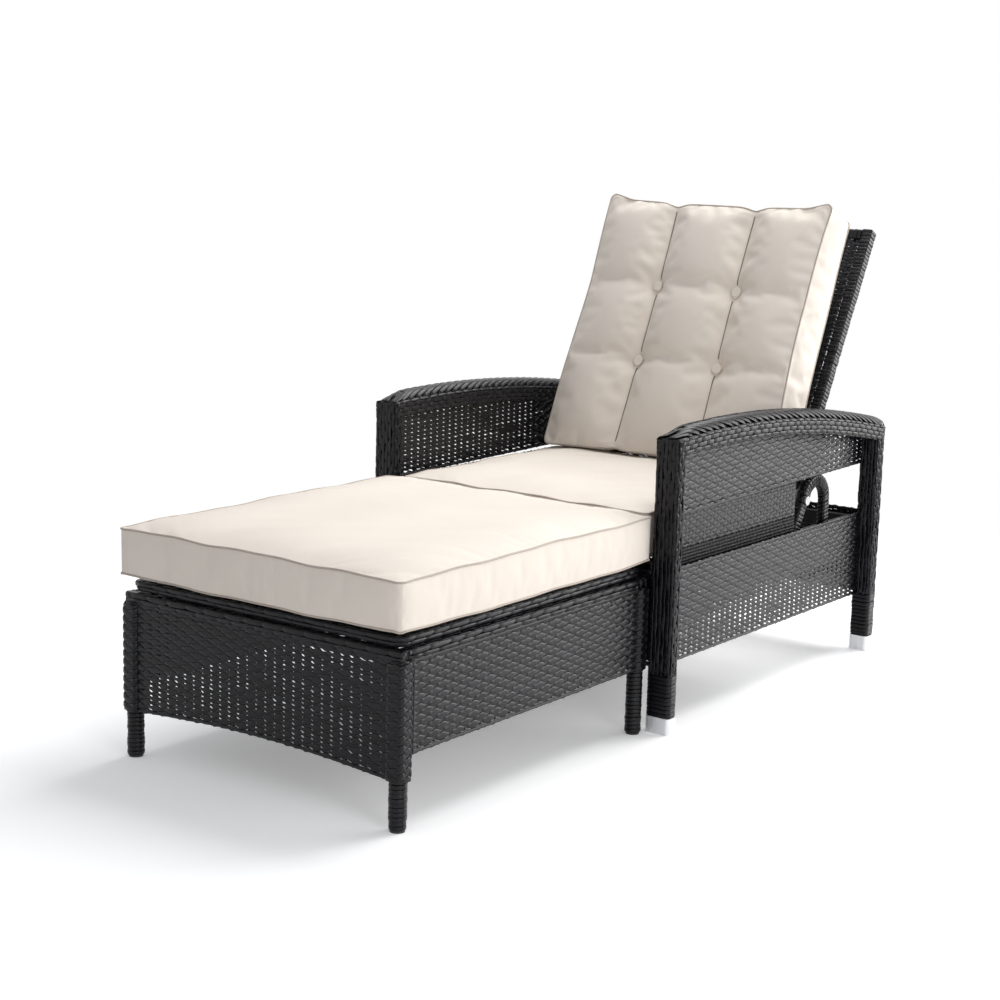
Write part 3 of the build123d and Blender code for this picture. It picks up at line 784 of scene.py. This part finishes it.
def arm_panel_pieces():
    """The panels below the arms, which end behind them and open towards their ends."""
    for side_name, _ in both_sides():
        name = f"arm_panel_{side_name}"
        low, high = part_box(name)
        length = high.y - low.y
        surface = flat_surface(((low.x + high.x) / 2, low.y, 0), (0, 1, 0), (0, 0, 1), 1)
        foot = lambda run: low.z + 0.010 * np.asarray(run) / length
        top = lambda run: arm_edge(low.y + np.asarray(run)) - arm_side_height + 0.022
        front_share = 0.3 if side_name == "left" else 0.95
        open_ends = lambda along, up: (0.1 + 1.1 * smooth(along, 0.72, 0.85)
                                       + front_share * smooth(0.7 - along, 0.0, 0.2))
        footed_panel(name, "chair", surface, length, foot, top, cut=True, openness=open_ends)


def box_panel(name, body, along, facing=1, tuck=0.0, strands=(), ropes=0, **looks):
    """A flat woven panel that fills its node's box, with edge strands or twisted ropes at its foot.

    tuck is how far its top runs up behind the rail over it, strands are places of upright ones beside
    its ends, and ropes is how many ropes its foot has. Without ropes it has a strand at its top too."""
    low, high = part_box(name)
    centre = (low + high) / 2
    start = (low.x if along == "x" else low.y) - end_tuck
    origin = Vector((start, centre.y, 0)) if along == "x" else Vector((centre.x, start, 0))
    direction = (1, 0, 0) if along == "x" else (0, 1, 0)
    length = (high.x if along == "x" else high.y) + end_tuck - start
    strips = Strips()
    surface = flat_surface(origin, direction, (0, 0, 1), facing)
    foot = low.z + ropes * rope_width
    woven_panel(strips, surface, length, level(foot), level(high.z + tuck), **looks)
    for number in range(ropes):
        place = low.z + (number + 0.5) * rope_width
        edge_strand(strips, surface, 0, length, level(place), rope_width * 0.7, 0.003)
        lashings(strips, surface, place, rope_width, 0.0, length, math.radians(38), rope_strip, 0.0012,
                 -0.0012, 5)
    if not ropes:
        edge_strand(strips, surface, 0, length, level(low.z + edge_width / 2))
        edge_strand(strips, surface, 0, length, level(high.z + tuck - edge_width / 2))
    for place in strands:
        edge_strand(strips, crosswise(surface), low.z, high.z + tuck, level(place), 0.0044, 0.0036, 0.0014)
    return strips.piece(f"{name}_weave", body, [name])


def deck_panel(name, body, row=0.0105, stake=0.0148):
    """An open woven deck that fills its node's box."""
    low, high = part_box(name)
    strips = Strips()
    surface = flat_surface((low.x, low.y, (low.z + high.z) / 2), (1, 0, 0), (0, 1, 0))
    woven_panel(strips, surface, high.x - low.x, level(0.0), level(high.y - low.y), row=row, stake=stake)
    return strips.piece(f"{name}_weave", body, [name])


def arch_pieces():
    foot_y = chair_front + arch_front_foot
    rear_y = foot_y + arch_run
    top_z = base_rail_top + arch_run / math.tan(arch_lean)
    outline = round_rectangle(0.009, 0.013, 0.005)
    for side_name, _ in both_sides():
        name = f"hinge_arch_{side_name}"
        low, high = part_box(name)
        x = (low.x + high.x) / 2
        front, corner, rear = (x, foot_y, base_rail_top), (x, rear_y, top_z), (x, rear_y, base_rail_top)
        path = Path([front] + round_corner(front, corner, rear, arch_bend_radius) + [rear], (1, 0, 0))
        wrapped_piece(name, "chair", path, outline, 40, slant=0.002, sides=24)


def back_point(x, along, depth):
    """A place in the backrest's own plane: across, up from the pivot, and out of its front."""
    up = Vector((0, math.sin(back_tilt), math.cos(back_tilt)))
    front = Vector((0, -math.cos(back_tilt), math.sin(back_tilt)))
    return pivot + Vector((x, 0, 0)) + up * along + front * depth


def backrest_pieces():
    up = back_point(0, 1, 0) - pivot
    stile = round_rectangle(0.012, back_tube_depth, back_tube_radius)
    for side_name, side in both_sides():
        ends = [back_point(side * stile_place, place, 0) for place in (stile_foot, stile_top)]
        wrapped_piece(f"back_stile_{side_name}", "backrest", Path(ends, (1, 0, 0)), stile, sides=28)
    for name, place, half_height in (("back_top_rail", top_rail_place, 0.012),
                                     ("back_bottom_rail", bottom_rail_place, 0.013)):
        ends = [back_point(reach, place, 0) for reach in (-rail_reach, rail_reach)]
        outline = round_rectangle(half_height, back_tube_depth, back_tube_radius)
        wrapped_piece(name, "backrest", Path(ends, up), outline, sides=28)
    strips = Strips()
    surface = flat_surface(back_point(-rail_reach, back_panel_foot, back_panel_depth), (1, 0, 0), up, -1)
    woven_panel(strips, surface, 2 * rail_reach, level(0.0), level(back_panel_height),
                openness=lambda along, up: 0.35)
    strips.piece("back_panel_weave", "backrest", ["back_panel"])


# Footstool

def stool_legs():
    """Round wrapped legs, with a square woven sleeve beside the panels."""
    for end in ("front", "rear"):
        sleeve_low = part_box(f"stool_panel_{end}")[0].z
        for side_name, _ in both_sides():
            name = f"stool_leg_{end}_{side_name}"
            low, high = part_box(name)
            centre = (low + high) / 2
            half, top = (high.x - low.x) / 2, high.z + rail_tuck
            outline = circle(half)
            path = Path([(centre.x, centre.y, 0), (centre.x, centre.y, top)], (1, 0, 0))
            strips = Strips()
            wrapped_member(strips, path, outline, low.z, top, pitch=leg_wrap_pitch, width=leg_wrap_strip,
                           sides=30)
            member_core(strips, path, outline, low.z, top)
            sleeve = round_rectangle(half, half, sleeve_radius)
            skin = member_surface(path, sleeve, False)
            rows = round((high.z - sleeve_low) / leg_wrap_pitch)
            for number in range(rows):
                place = level(sleeve_low + (number + 0.5) * (high.z - sleeve_low) / rows)
                weave_row(strips, skin, number, place, 0, sleeve.length, sleeve.length / 8, leg_wrap_strip)
            strips.piece(f"{name}_wrap", "footstool", [name])


def stool_panels():
    low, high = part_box("stool_panel_front")
    length = high.x - low.x
    surface = flat_surface((low.x, (low.y + high.y) / 2, 0), (1, 0, 0), (0, 0, 1))
    foot = lambda run: low.z + front_panel_rise * np.sin(math.pi * np.asarray(run) / length)
    footed_panel("stool_panel_front", "footstool", surface, length, foot, level(high.z + rail_tuck),
                 openness=lambda along, up: 1.3 - 0.8 * smooth(along, 0.85, 1.0))
    box_panel("stool_panel_rear", "footstool", "x", facing=-1, tuck=rail_tuck)
    rear_open = lambda along, up: 0.05 + 0.9 * smooth(along, 0.84, 0.97)
    leg_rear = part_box("stool_leg_front_left")[1].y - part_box("stool_panel_left")[0].y
    strands = [leg_rear + 0.003, leg_rear + 0.008]
    for side_name, side in both_sides():
        box_panel(f"stool_panel_{side_name}", "footstool", "y", side, rail_tuck, strands, openness=rear_open)
    deck_panel("stool_deck", "footstool")


def stool_rim():
    """The rails over the panels, and the frame of the deck on them."""
    for end in ("front", "rear", "left", "right"):
        name = f"stool_rail_{end}"
        low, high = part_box(name)
        centre = (low + high) / 2
        half_x, half_y, half_z = ((above - below) / 2 for below, above in zip(low, high))
        if end in ("front", "rear"):
            ends, half_width = [(low.x, centre.y, centre.z), (high.x, centre.y, centre.z)], half_y
        else:
            ends, half_width = [(centre.x, low.y, centre.z), (centre.x, high.y, centre.z)], half_x
        rim_piece(name, Path(ends, (0, 0, 1)), half_z, half_width, margin=0.0005)
    low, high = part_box("stool_deck_frame")
    centre = (low + high) / 2
    half_x, half_y, half_z = ((above - below) / 2 for below, above in zip(low, high))
    inset = deck_frame_half_width
    corners = round_rectangle(half_x - inset, half_y - inset, 0.006).points[:-1]
    path = Path([(centre.x + a, centre.y + b, centre.z) for a, b in corners], (0, 0, 1), closed=True)
    rim_piece("stool_deck_frame", path, half_z, deck_frame_half_width, count=240)


# Cushions

def stops_between(stops, cells):
    """Places along a line that fall on each stop, with even steps of about a cell's size between."""
    places = [np.linspace(low, high, max(1, round((high - low) / cell)), endpoint=False)
              for low, high, cell in zip(stops, stops[1:], cells)]
    return np.concatenate(places + [stops[-1:]])


def square_to_round(a, b):
    """Maps the unit square onto the unit disc's quarter, for a round corner of a grid."""
    return a * np.sqrt(1 - b * b / 2), b * np.sqrt(1 - a * a / 2)


def cover_grid(across, up, corner, waist, rings):
    """A cover's plan, its rim, and the faces of its top, foot and band.

    across and up are the places of the grid's lines, from minus half the size to plus half of it."""
    half_x, half_y = across[-1], up[-1]
    x, y = np.meshgrid(across, up, indexing="ij")
    a = np.clip((np.abs(x) - (half_x - corner)) / corner, 0, 1)
    b = np.clip((np.abs(y) - (half_y - corner)) / corner, 0, 1)
    round_a, round_b = square_to_round(a, b)
    x = np.sign(x) * (np.minimum(np.abs(x), half_x - corner) + corner * round_a)
    y = np.sign(y) * (np.minimum(np.abs(y), half_y - corner) + corner * round_b)
    bowed_x = x * (1 - waist / half_x * (1 - (y / half_y) ** 2))
    bowed_y = y * (1 - waist / half_y * (1 - (x / half_x) ** 2))
    plan = np.stack([bowed_x, bowed_y], -1).reshape(-1, 2)
    index = np.arange(x.size).reshape(x.shape)
    rim = np.concatenate([index[:-1, 0], index[-1, :-1], index[:0:-1, -1], index[0, :0:-1]])
    cells = np.stack([index[:-1, :-1], index[1:, :-1], index[1:, 1:], index[:-1, 1:]], -1).reshape(-1, 4)
    size = len(plan)
    faces = [cells, cells[:, ::-1] + size]
    levels = [rim] + [2 * size + ring * len(rim) + np.arange(len(rim)) for ring in range(rings - 1)]
    levels.append(rim + size)
    for upper, lower in zip(levels, levels[1:]):
        faces.append(np.stack([upper, lower, np.roll(lower, -1), np.roll(upper, -1)], -1))
    return plan, np.vstack(faces), levels


def cover_mesh(name, vertices, faces):
    mesh = bpy.data.meshes.new(name)
    mesh.from_pydata(vertices.tolist(), [], faces)
    mesh.update()
    mesh.validate()
    mesh.shade_smooth()
    return mesh


def stuffed(vertices, faces, held, cap, pressure=4.0, slack=0.006):
    """Swells a cover like stuffing does: held points stay, and no other moves further than its cap."""
    form = add_object("form", cover_mesh("form", vertices, faces.tolist()))
    group = form.vertex_groups.new(name="held")
    group.add([int(index) for index in held], 1.0, "REPLACE")
    cloth = form.modifiers.new("cloth", "CLOTH")
    settings = cloth.settings
    settings.quality = 6
    settings.tension_stiffness = settings.compression_stiffness = 12
    settings.shear_stiffness = 6
    settings.bending_stiffness = 0.3
    settings.effector_weights.gravity = 0
    settings.use_pressure = True
    settings.uniform_pressure_force = pressure
    settings.vertex_group_mass = "held"
    settings.shrink_min = -slack
    cloth.point_cache.frame_start = 1
    cloth.point_cache.frame_end = cloth_frames
    for frame_number in range(1, cloth_frames + 1):
        bpy.context.scene.frame_set(frame_number)
    swollen = form.evaluated_get(bpy.context.evaluated_depsgraph_get()).data
    moved = np.empty(len(vertices) * 3)
    swollen.vertices.foreach_get("co", moved)
    step = moved.reshape(-1, 3) - vertices
    length = np.linalg.norm(step, axis=1, keepdims=True)
    bpy.data.objects.remove(form)
    bpy.context.scene.frame_set(1)
    return vertices + step * (cap * np.tanh(length / cap) / np.maximum(length, 1e-9))


def cover_piece(name, vertices, faces, seams, body, lines=()):
    """The cover with one subdivision, crisp along its closed seams and its open sewn lines."""
    mesh = cover_mesh(name + "_cover", vertices, faces.tolist())
    sewn = {frozenset((int(a), int(b))) for seam in seams for a, b in zip(seam, np.roll(seam, -1))}
    sewn |= {frozenset((int(a), int(b))) for line in lines for a, b in zip(line, line[1:])}
    crease = mesh.attributes.new("crease_edge", "FLOAT", "EDGE")
    for edge, mark in zip(mesh.edges, crease.data):
        mark.value = 0.8 if frozenset(edge.vertices) in sewn else 0.0
    made = place_piece(name + "_cover", mesh, body, [name], fabric)
    division = made.modifiers.new("smooth", "SUBSURF")
    division.levels = division.render_levels = 1
    return made


def finer(points):
    """A closed line of points with a point added, on a smooth curve, in each gap."""
    middle = (points + np.roll(points, -1, 0)) * 9 / 16 - (np.roll(points, 1, 0) + np.roll(points, -2, 0)) / 16
    return np.stack([points, middle], 1).reshape(-1, 3)


def cord_along(name, points, radius, body, closed=True, sides=8, material=None):
    """A cord of piping, or a dark cord of painted shade along a sewn line, through points, on the cushion that it
    rides with.
    """
    if closed:
        points = finer(points)
        ahead = np.roll(points, -1, 0) - np.roll(points, 1, 0)
        out = points - points.mean(0)
    else:
        points = np.array(points, float)
        ahead = np.gradient(points, axis=0)
        out = np.broadcast_to(np.array([1.0, 0, 0]), points.shape)
    ahead = unit(ahead)
    out = unit(out - (out * ahead).sum(1, keepdims=True) * ahead)
    third = np.cross(ahead, out)
    angle = np.linspace(0, math.tau, sides, endpoint=False)
    ring = out[:, None] * np.cos(angle)[None, :, None] + third[:, None] * np.sin(angle)[None, :, None]
    vertices = (points[:, None] + radius * ring).reshape(-1, 3)
    faces = tube_faces(len(points), sides, closed).reshape(-1, 4)[:, ::-1].tolist()
    if not closed:
        last = (len(points) - 1) * sides
        faces += [list(range(sides)), [last + corner for corner in range(sides)][::-1]]
    mesh = cover_mesh(name, vertices, faces)
    return place_piece(name, mesh, body, (), material or piping_cloth)


def box_cushion(name, body):
    """A boxed cushion with a crowned top, a slightly full band and piping on both seams."""
    low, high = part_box(name)
    centre = (low + high) / 2
    half_x, half_y = (high.x - low.x) / 2 - seam_inset, (high.y - low.y) / 2 - seam_inset
    corner, rings = box_corner, 9
    grid = []
    for half in (half_x, half_y):
        stops = np.array([-half, -half + corner, half - corner, half])
        grid.append(stops_between(stops, (corner / 4, box_cell, corner / 4)))
    plan, faces, levels = cover_grid(*grid, corner, box_waist, rings)
    p, q = plan[:, 0] / half_x, plan[:, 1] / half_y
    dome = np.clip((1 - p ** 4) * (1 - q ** 4), 0, 1) ** 0.5
    waver = 0.0012 * (np.sin(9 * p + 1.3) + np.sin(7 * q + 0.4) + 0.6 * np.sin(17 * (p - q)))
    top = low.z + box_high_seam + box_crown * dome + waver
    edge = np.clip((1 - np.abs(p) ** 14) * (1 - np.abs(q) ** 14), 0, 1) ** 0.5
    foot = low.z + box_low_seam * (1 - edge) + waver * (1 - edge)
    vertices = [np.column_stack([plan, top]), np.column_stack([plan, foot])]
    rim = levels[0]
    rim_plan = plan[rim]
    for ring in range(1, rings):
        share = ring / rings
        height = top[rim] + (foot[rim] - top[rim]) * share
        vertices.append(np.column_stack([rim_plan, height]))
    vertices = np.vstack(vertices) + np.array([centre.x, centre.y, 0])
    upright = np.all(np.abs(rim_plan) > np.array([half_x, half_y]) - 0.6 * corner, axis=1)
    corners = np.concatenate([ring[upright] for ring in levels[1:-1]])
    held = np.concatenate([rim, np.arange(len(plan)) + len(plan), corners])
    vertices = stuffed(vertices, faces, held, box_swell)
    cover_piece(name, vertices, faces, (levels[0], levels[-1]), body)
    cord_along(name + "_top_piping", vertices[levels[0]], piping_radius, body)
    cord_along(name + "_foot_piping", vertices[levels[-1]], piping_radius, body)


def back_cushion(name="back_cushion", body="backrest"):
    """The tufted cushion: two columns of two buttons, deep upright creases and soft level ones."""
    origin = Vector((0, chair_front + back_foot_y, back_foot_z))
    up = Vector((0, math.sin(cushion_tilt), math.cos(cushion_tilt)))
    front = Vector((0, -math.cos(cushion_tilt), math.sin(cushion_tilt)))
    half_x, half_y, rings = back_half_width, back_length / 2, 10
    corner, column = back_corner, tuft_column
    heights = [height - half_y for height in tuft_heights]
    cells = (corner / 4, back_cell, back_cell, back_cell, corner / 4)
    stops_x = [-half_x, -half_x + corner, -column, column, half_x - corner, half_x]
    stops_y = [-half_y, -half_y + corner, *heights, half_y - corner, half_y]
    across, along = (stops_between(np.array(stops), cells) for stops in (stops_x, stops_y))
    plan, faces, levels = cover_grid(across, along, corner, back_waist, rings)
    p, q = plan[:, 0] / half_x, plan[:, 1] / half_y
    upright = np.abs(np.abs(plan[:, 0]) - column)
    crosswise = np.min([np.abs(plan[:, 1] - height) for height in heights], axis=0)
    button = np.hypot(upright, crosswise)
    near_top, near_foot = smooth(q, 0.55, 1.0), smooth(-q, 0.55, 1.0)
    pinch = np.exp(-(upright / 0.020) ** 2)
    puff = smooth(np.abs(p), 0.75, 1.0)
    x = plan[:, 0] * (1 + 0.03 * smooth(-q, -0.4, 1.0))
    y = plan[:, 1] + half_y + near_top * (0.011 * puff - 0.006 * pinch - 0.002) + near_foot * 0.003 * pinch
    rim_share = np.clip((1 - np.abs(p) ** 3.2) * (1 - np.abs(q) ** 3.2), 0, 1) ** 0.55
    crease = 1 - np.exp(-upright / crease_reach)
    soft = 1 - 0.3 * np.exp(-(crosswise / 0.030) ** 2) * (0.4 + 0.6 * np.exp(-upright / 0.05))
    turn = np.arctan2(crosswise, upright)
    creased = 0.0022 * np.sin(9 * turn + 5 * p + 3 * q) * np.exp(-((button - 0.034) / 0.02) ** 2)
    pulled = np.exp(-(button / button_reach) ** 2)
    height = back_boxing + back_lobe * rim_share * (0.02 + 0.98 * crease) * soft + creased
    height = height * (1 - pulled) + (back_boxing - tuft_depth) * pulled
    sewn = (upright < 0.004) & (np.abs(q) < 0.93)
    line_height = back_boxing - sewn_line_depth * (1 - np.abs(q) ** 6)
    height = np.where(sewn, np.minimum(height, line_height), height)
    rear = -back_rear_crown * rim_share
    vertices = [np.column_stack([x, y, height]), np.column_stack([x, y, rear])]
    rim = levels[0]
    for ring in range(1, rings):
        share = ring / rings
        vertices.append(np.column_stack([x[rim], y[rim], height[rim] * (1 - share)]))
    local = np.vstack(vertices)
    foot_share = smooth(half_y - local[:, 1], 0.4 * half_y, half_y)
    local[:, 1] -= math.tan(cushion_tilt) * np.clip(local[:, 2], 0, None) * foot_share
    local[:, 0] += 0.0015 * np.sin(19 * local[:, 1] + 2) * (np.abs(local[:, 0]) > half_x * 0.9)
    basis = np.array([(1, 0, 0), tuple(up), tuple(front)])
    start = np.array(tuple(origin))
    flat = np.arange(len(plan))
    held = np.concatenate([rim, flat + len(plan), flat[button < button_held], flat[sewn]])
    cap = np.full((len(local), 1), back_swell)
    cap[flat, 0] = 0.001 + back_swell * (1 - np.exp(-(upright / sewn_line_reach) ** 2))
    swollen = stuffed(local, faces, held, cap, slack=0.03)
    world = swollen @ basis + start
    lines = {}
    for side_name, side in both_sides():
        line = flat[sewn & (np.sign(plan[:, 0]) == side)]
        lines[side_name] = line[np.argsort(plan[line, 1])]
    cover_piece(name, world, faces, (levels[0], levels[-1]), body, lines.values())
    cord_along(name + "_front_piping", world[levels[0]], piping_radius, body)
    cord_along(name + "_rear_piping", world[levels[-1]], piping_radius, body)
    for side_name, line in lines.items():
        clear = button[line] > button_clear
        runs = np.split(line, np.flatnonzero(np.diff(clear.astype(int))) + 1)
        for number, run in enumerate(run for run in runs if button[run[0]] > button_clear):
            # Each stretch of sewn line gets a dark cord of painted shade, for the shadow in its valley.
            cord_along(f"{name}_sewn_line_{side_name}_{number}", world[run] + np.array(tuple(front)) * 0.0008,
                       sewn_line_radius, body, closed=False, sides=6, material=painted_seam_shade)


# Materials of the nodes that stay

def finish_nodes():
    looks = {"foot_caps": cap_metal, "corner_brackets": steel, "bracket_screws": steel, "hinge_pins": steel,
             "ratchet_discs": steel, "pawl_discs": steel, "hinge_bushes": nylon, "stool_glides": nylon,
             "tuft_buttons": fabric}
    for name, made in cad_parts.items():
        made.data.materials.clear()
        made.data.materials.append(looks.get(name, frame_tube))


# Stage

def mixed(tree, share, first, second):
    """One shader that goes over into another by a share."""
    mix = tree.nodes.new("ShaderNodeMixShader")
    feed(tree, mix, {0: share, 1: first.outputs[0], 2: second.outputs[0]})
    return mix


def seen_apart(tree, lit, seen):
    """One shader for the light that falls on things, another for what the camera and mirrors see."""
    rays = tree.nodes.new("ShaderNodeLightPath").outputs
    share = math_node(tree, "MAXIMUM", rays["Is Camera Ray"], rays["Is Glossy Ray"])
    share = math_node(tree, "MAXIMUM", share, rays["Is Transmission Ray"])
    return mixed(tree, share, lit, seen).outputs[0]


def stage():
    """A pale floor that keeps its shadows and goes over into white further out."""
    size = 9.0
    mesh = bpy.data.meshes.new("floor")
    mesh.from_pydata([(-size, -size, 0), (size, -size, 0), (size, size, 0), (-size, size, 0)], [],
                     [(0, 1, 2, 3)])
    floor = add_object("floor", mesh)
    material, tree, shader, position = new_material("floor")
    feed(tree, shader, {"Base Color": (0.94, 0.94, 0.945, 1), "Roughness": 0.9, "Specular IOR Level": 0.1})
    white, lift = [node(tree, "ShaderNodeEmission", Color=(1, 1, 1, 1), Strength=strength)
                   for strength in (1.0, floor_lift)]
    lifted = tree.nodes.new("ShaderNodeAddShader")
    feed(tree, lifted, {0: shader.outputs[0], 1: lift.outputs[0]})
    length = node(tree, "ShaderNodeVectorMath", "LENGTH", Vector=position)
    fade = node(tree, "ShaderNodeMapRange", Value=length.outputs["Value"], From_Min=1.1, From_Max=2.2)
    fade.interpolation_type = "SMOOTHSTEP"
    far = mixed(tree, fade.outputs[0], lifted, white)
    feed(tree, tree.nodes["Material Output"], {"Surface": seen_apart(tree, shader, far)})
    mesh.materials.append(material)


def lights():
    world = bpy.data.worlds.new("studio")
    bpy.context.scene.world = world
    world.use_nodes = True
    tree = world.node_tree
    tree.nodes.clear()
    dim = node(tree, "ShaderNodeBackground", Color=(0.94, 0.965, 1.0, 1), Strength=0.38)
    white = node(tree, "ShaderNodeBackground", Color=(1, 1, 1, 1), Strength=1.0)
    node(tree, "ShaderNodeOutputWorld", Surface=seen_apart(tree, dim, white))
    for name, place, target, width, height, energy, colour in (
            ("key", (3.2, 4.3, 1.3), (0, 0, 0.35), 4.2, 2.5, 184, (1.0, 0.985, 0.965)),
            ("side", (3.2, -1.9, 1.3), (0, 0.2, 0.6), 1.2, 1.2, 26, (1, 1, 1)),
            ("top", (0.3, 1.5, 3.0), (0.1, 0.2, 0.3), 2.4, 2.4, 110, (1, 1, 1))):
        light = bpy.data.lights.new(name, "AREA")
        light.shape = "RECTANGLE"
        light.size, light.size_y = width, height
        light.energy = energy
        light.color = colour
        lamp = add_object(name, light)
        lamp.location = place
        lamp.rotation_euler = (Vector(target) - lamp.location).to_track_quat("-Z", "Y").to_euler()


def camera():
    """The photograph's view: from the right of the foot end, a little above the cushions."""
    turn, pitch, roll = math.radians(36.1), math.radians(10.6), math.radians(1.5)
    ahead = Vector((-math.sin(turn) * math.cos(pitch), math.cos(turn) * math.cos(pitch), -math.sin(pitch)))
    right = Vector((math.cos(turn), math.sin(turn), 0))
    up = right.cross(ahead)
    rolled_right = right * math.cos(roll) + up * math.sin(roll)
    rolled_up = up * math.cos(roll) - right * math.sin(roll)
    data = bpy.data.cameras.new("view")
    data.sensor_width = 36
    data.lens = lens
    made = add_object("view", data)
    made.matrix_world = Matrix.Translation(camera_place) @ Matrix(
        (rolled_right, rolled_up, -ahead)).transposed().to_4x4()
    bpy.context.scene.camera = made


finish_nodes()
post_pieces()
arm_pieces()
arm_panel_pieces()
low_half_open = lambda along, up: 0.1 + 1.7 * smooth(0.95 - up + 0.25 * (along - 0.5), 0.35, 0.6)
for side_name, side in both_sides():
    box_panel(f"side_skirt_{side_name}", "chair", "y", side, openness=low_half_open)
    box_panel(f"seat_side_panel_{side_name}", "chair", "y", side, ropes=5, row=0.0066, stake=0.0125,
              width=0.0066)
box_panel("front_apron", "chair", "x")
box_panel("rear_apron", "chair", "x", -1)
deck_panel("seat_deck", "chair")
arch_pieces()
backrest_pieces()
stool_legs()
stool_panels()
stool_rim()
box_cushion("seat_cushion", "chair")
box_cushion("foot_cushion", "footstool")
back_cushion()
stage()
lights()
camera()
bpy.context.scene.view_settings.view_transform = "Standard"
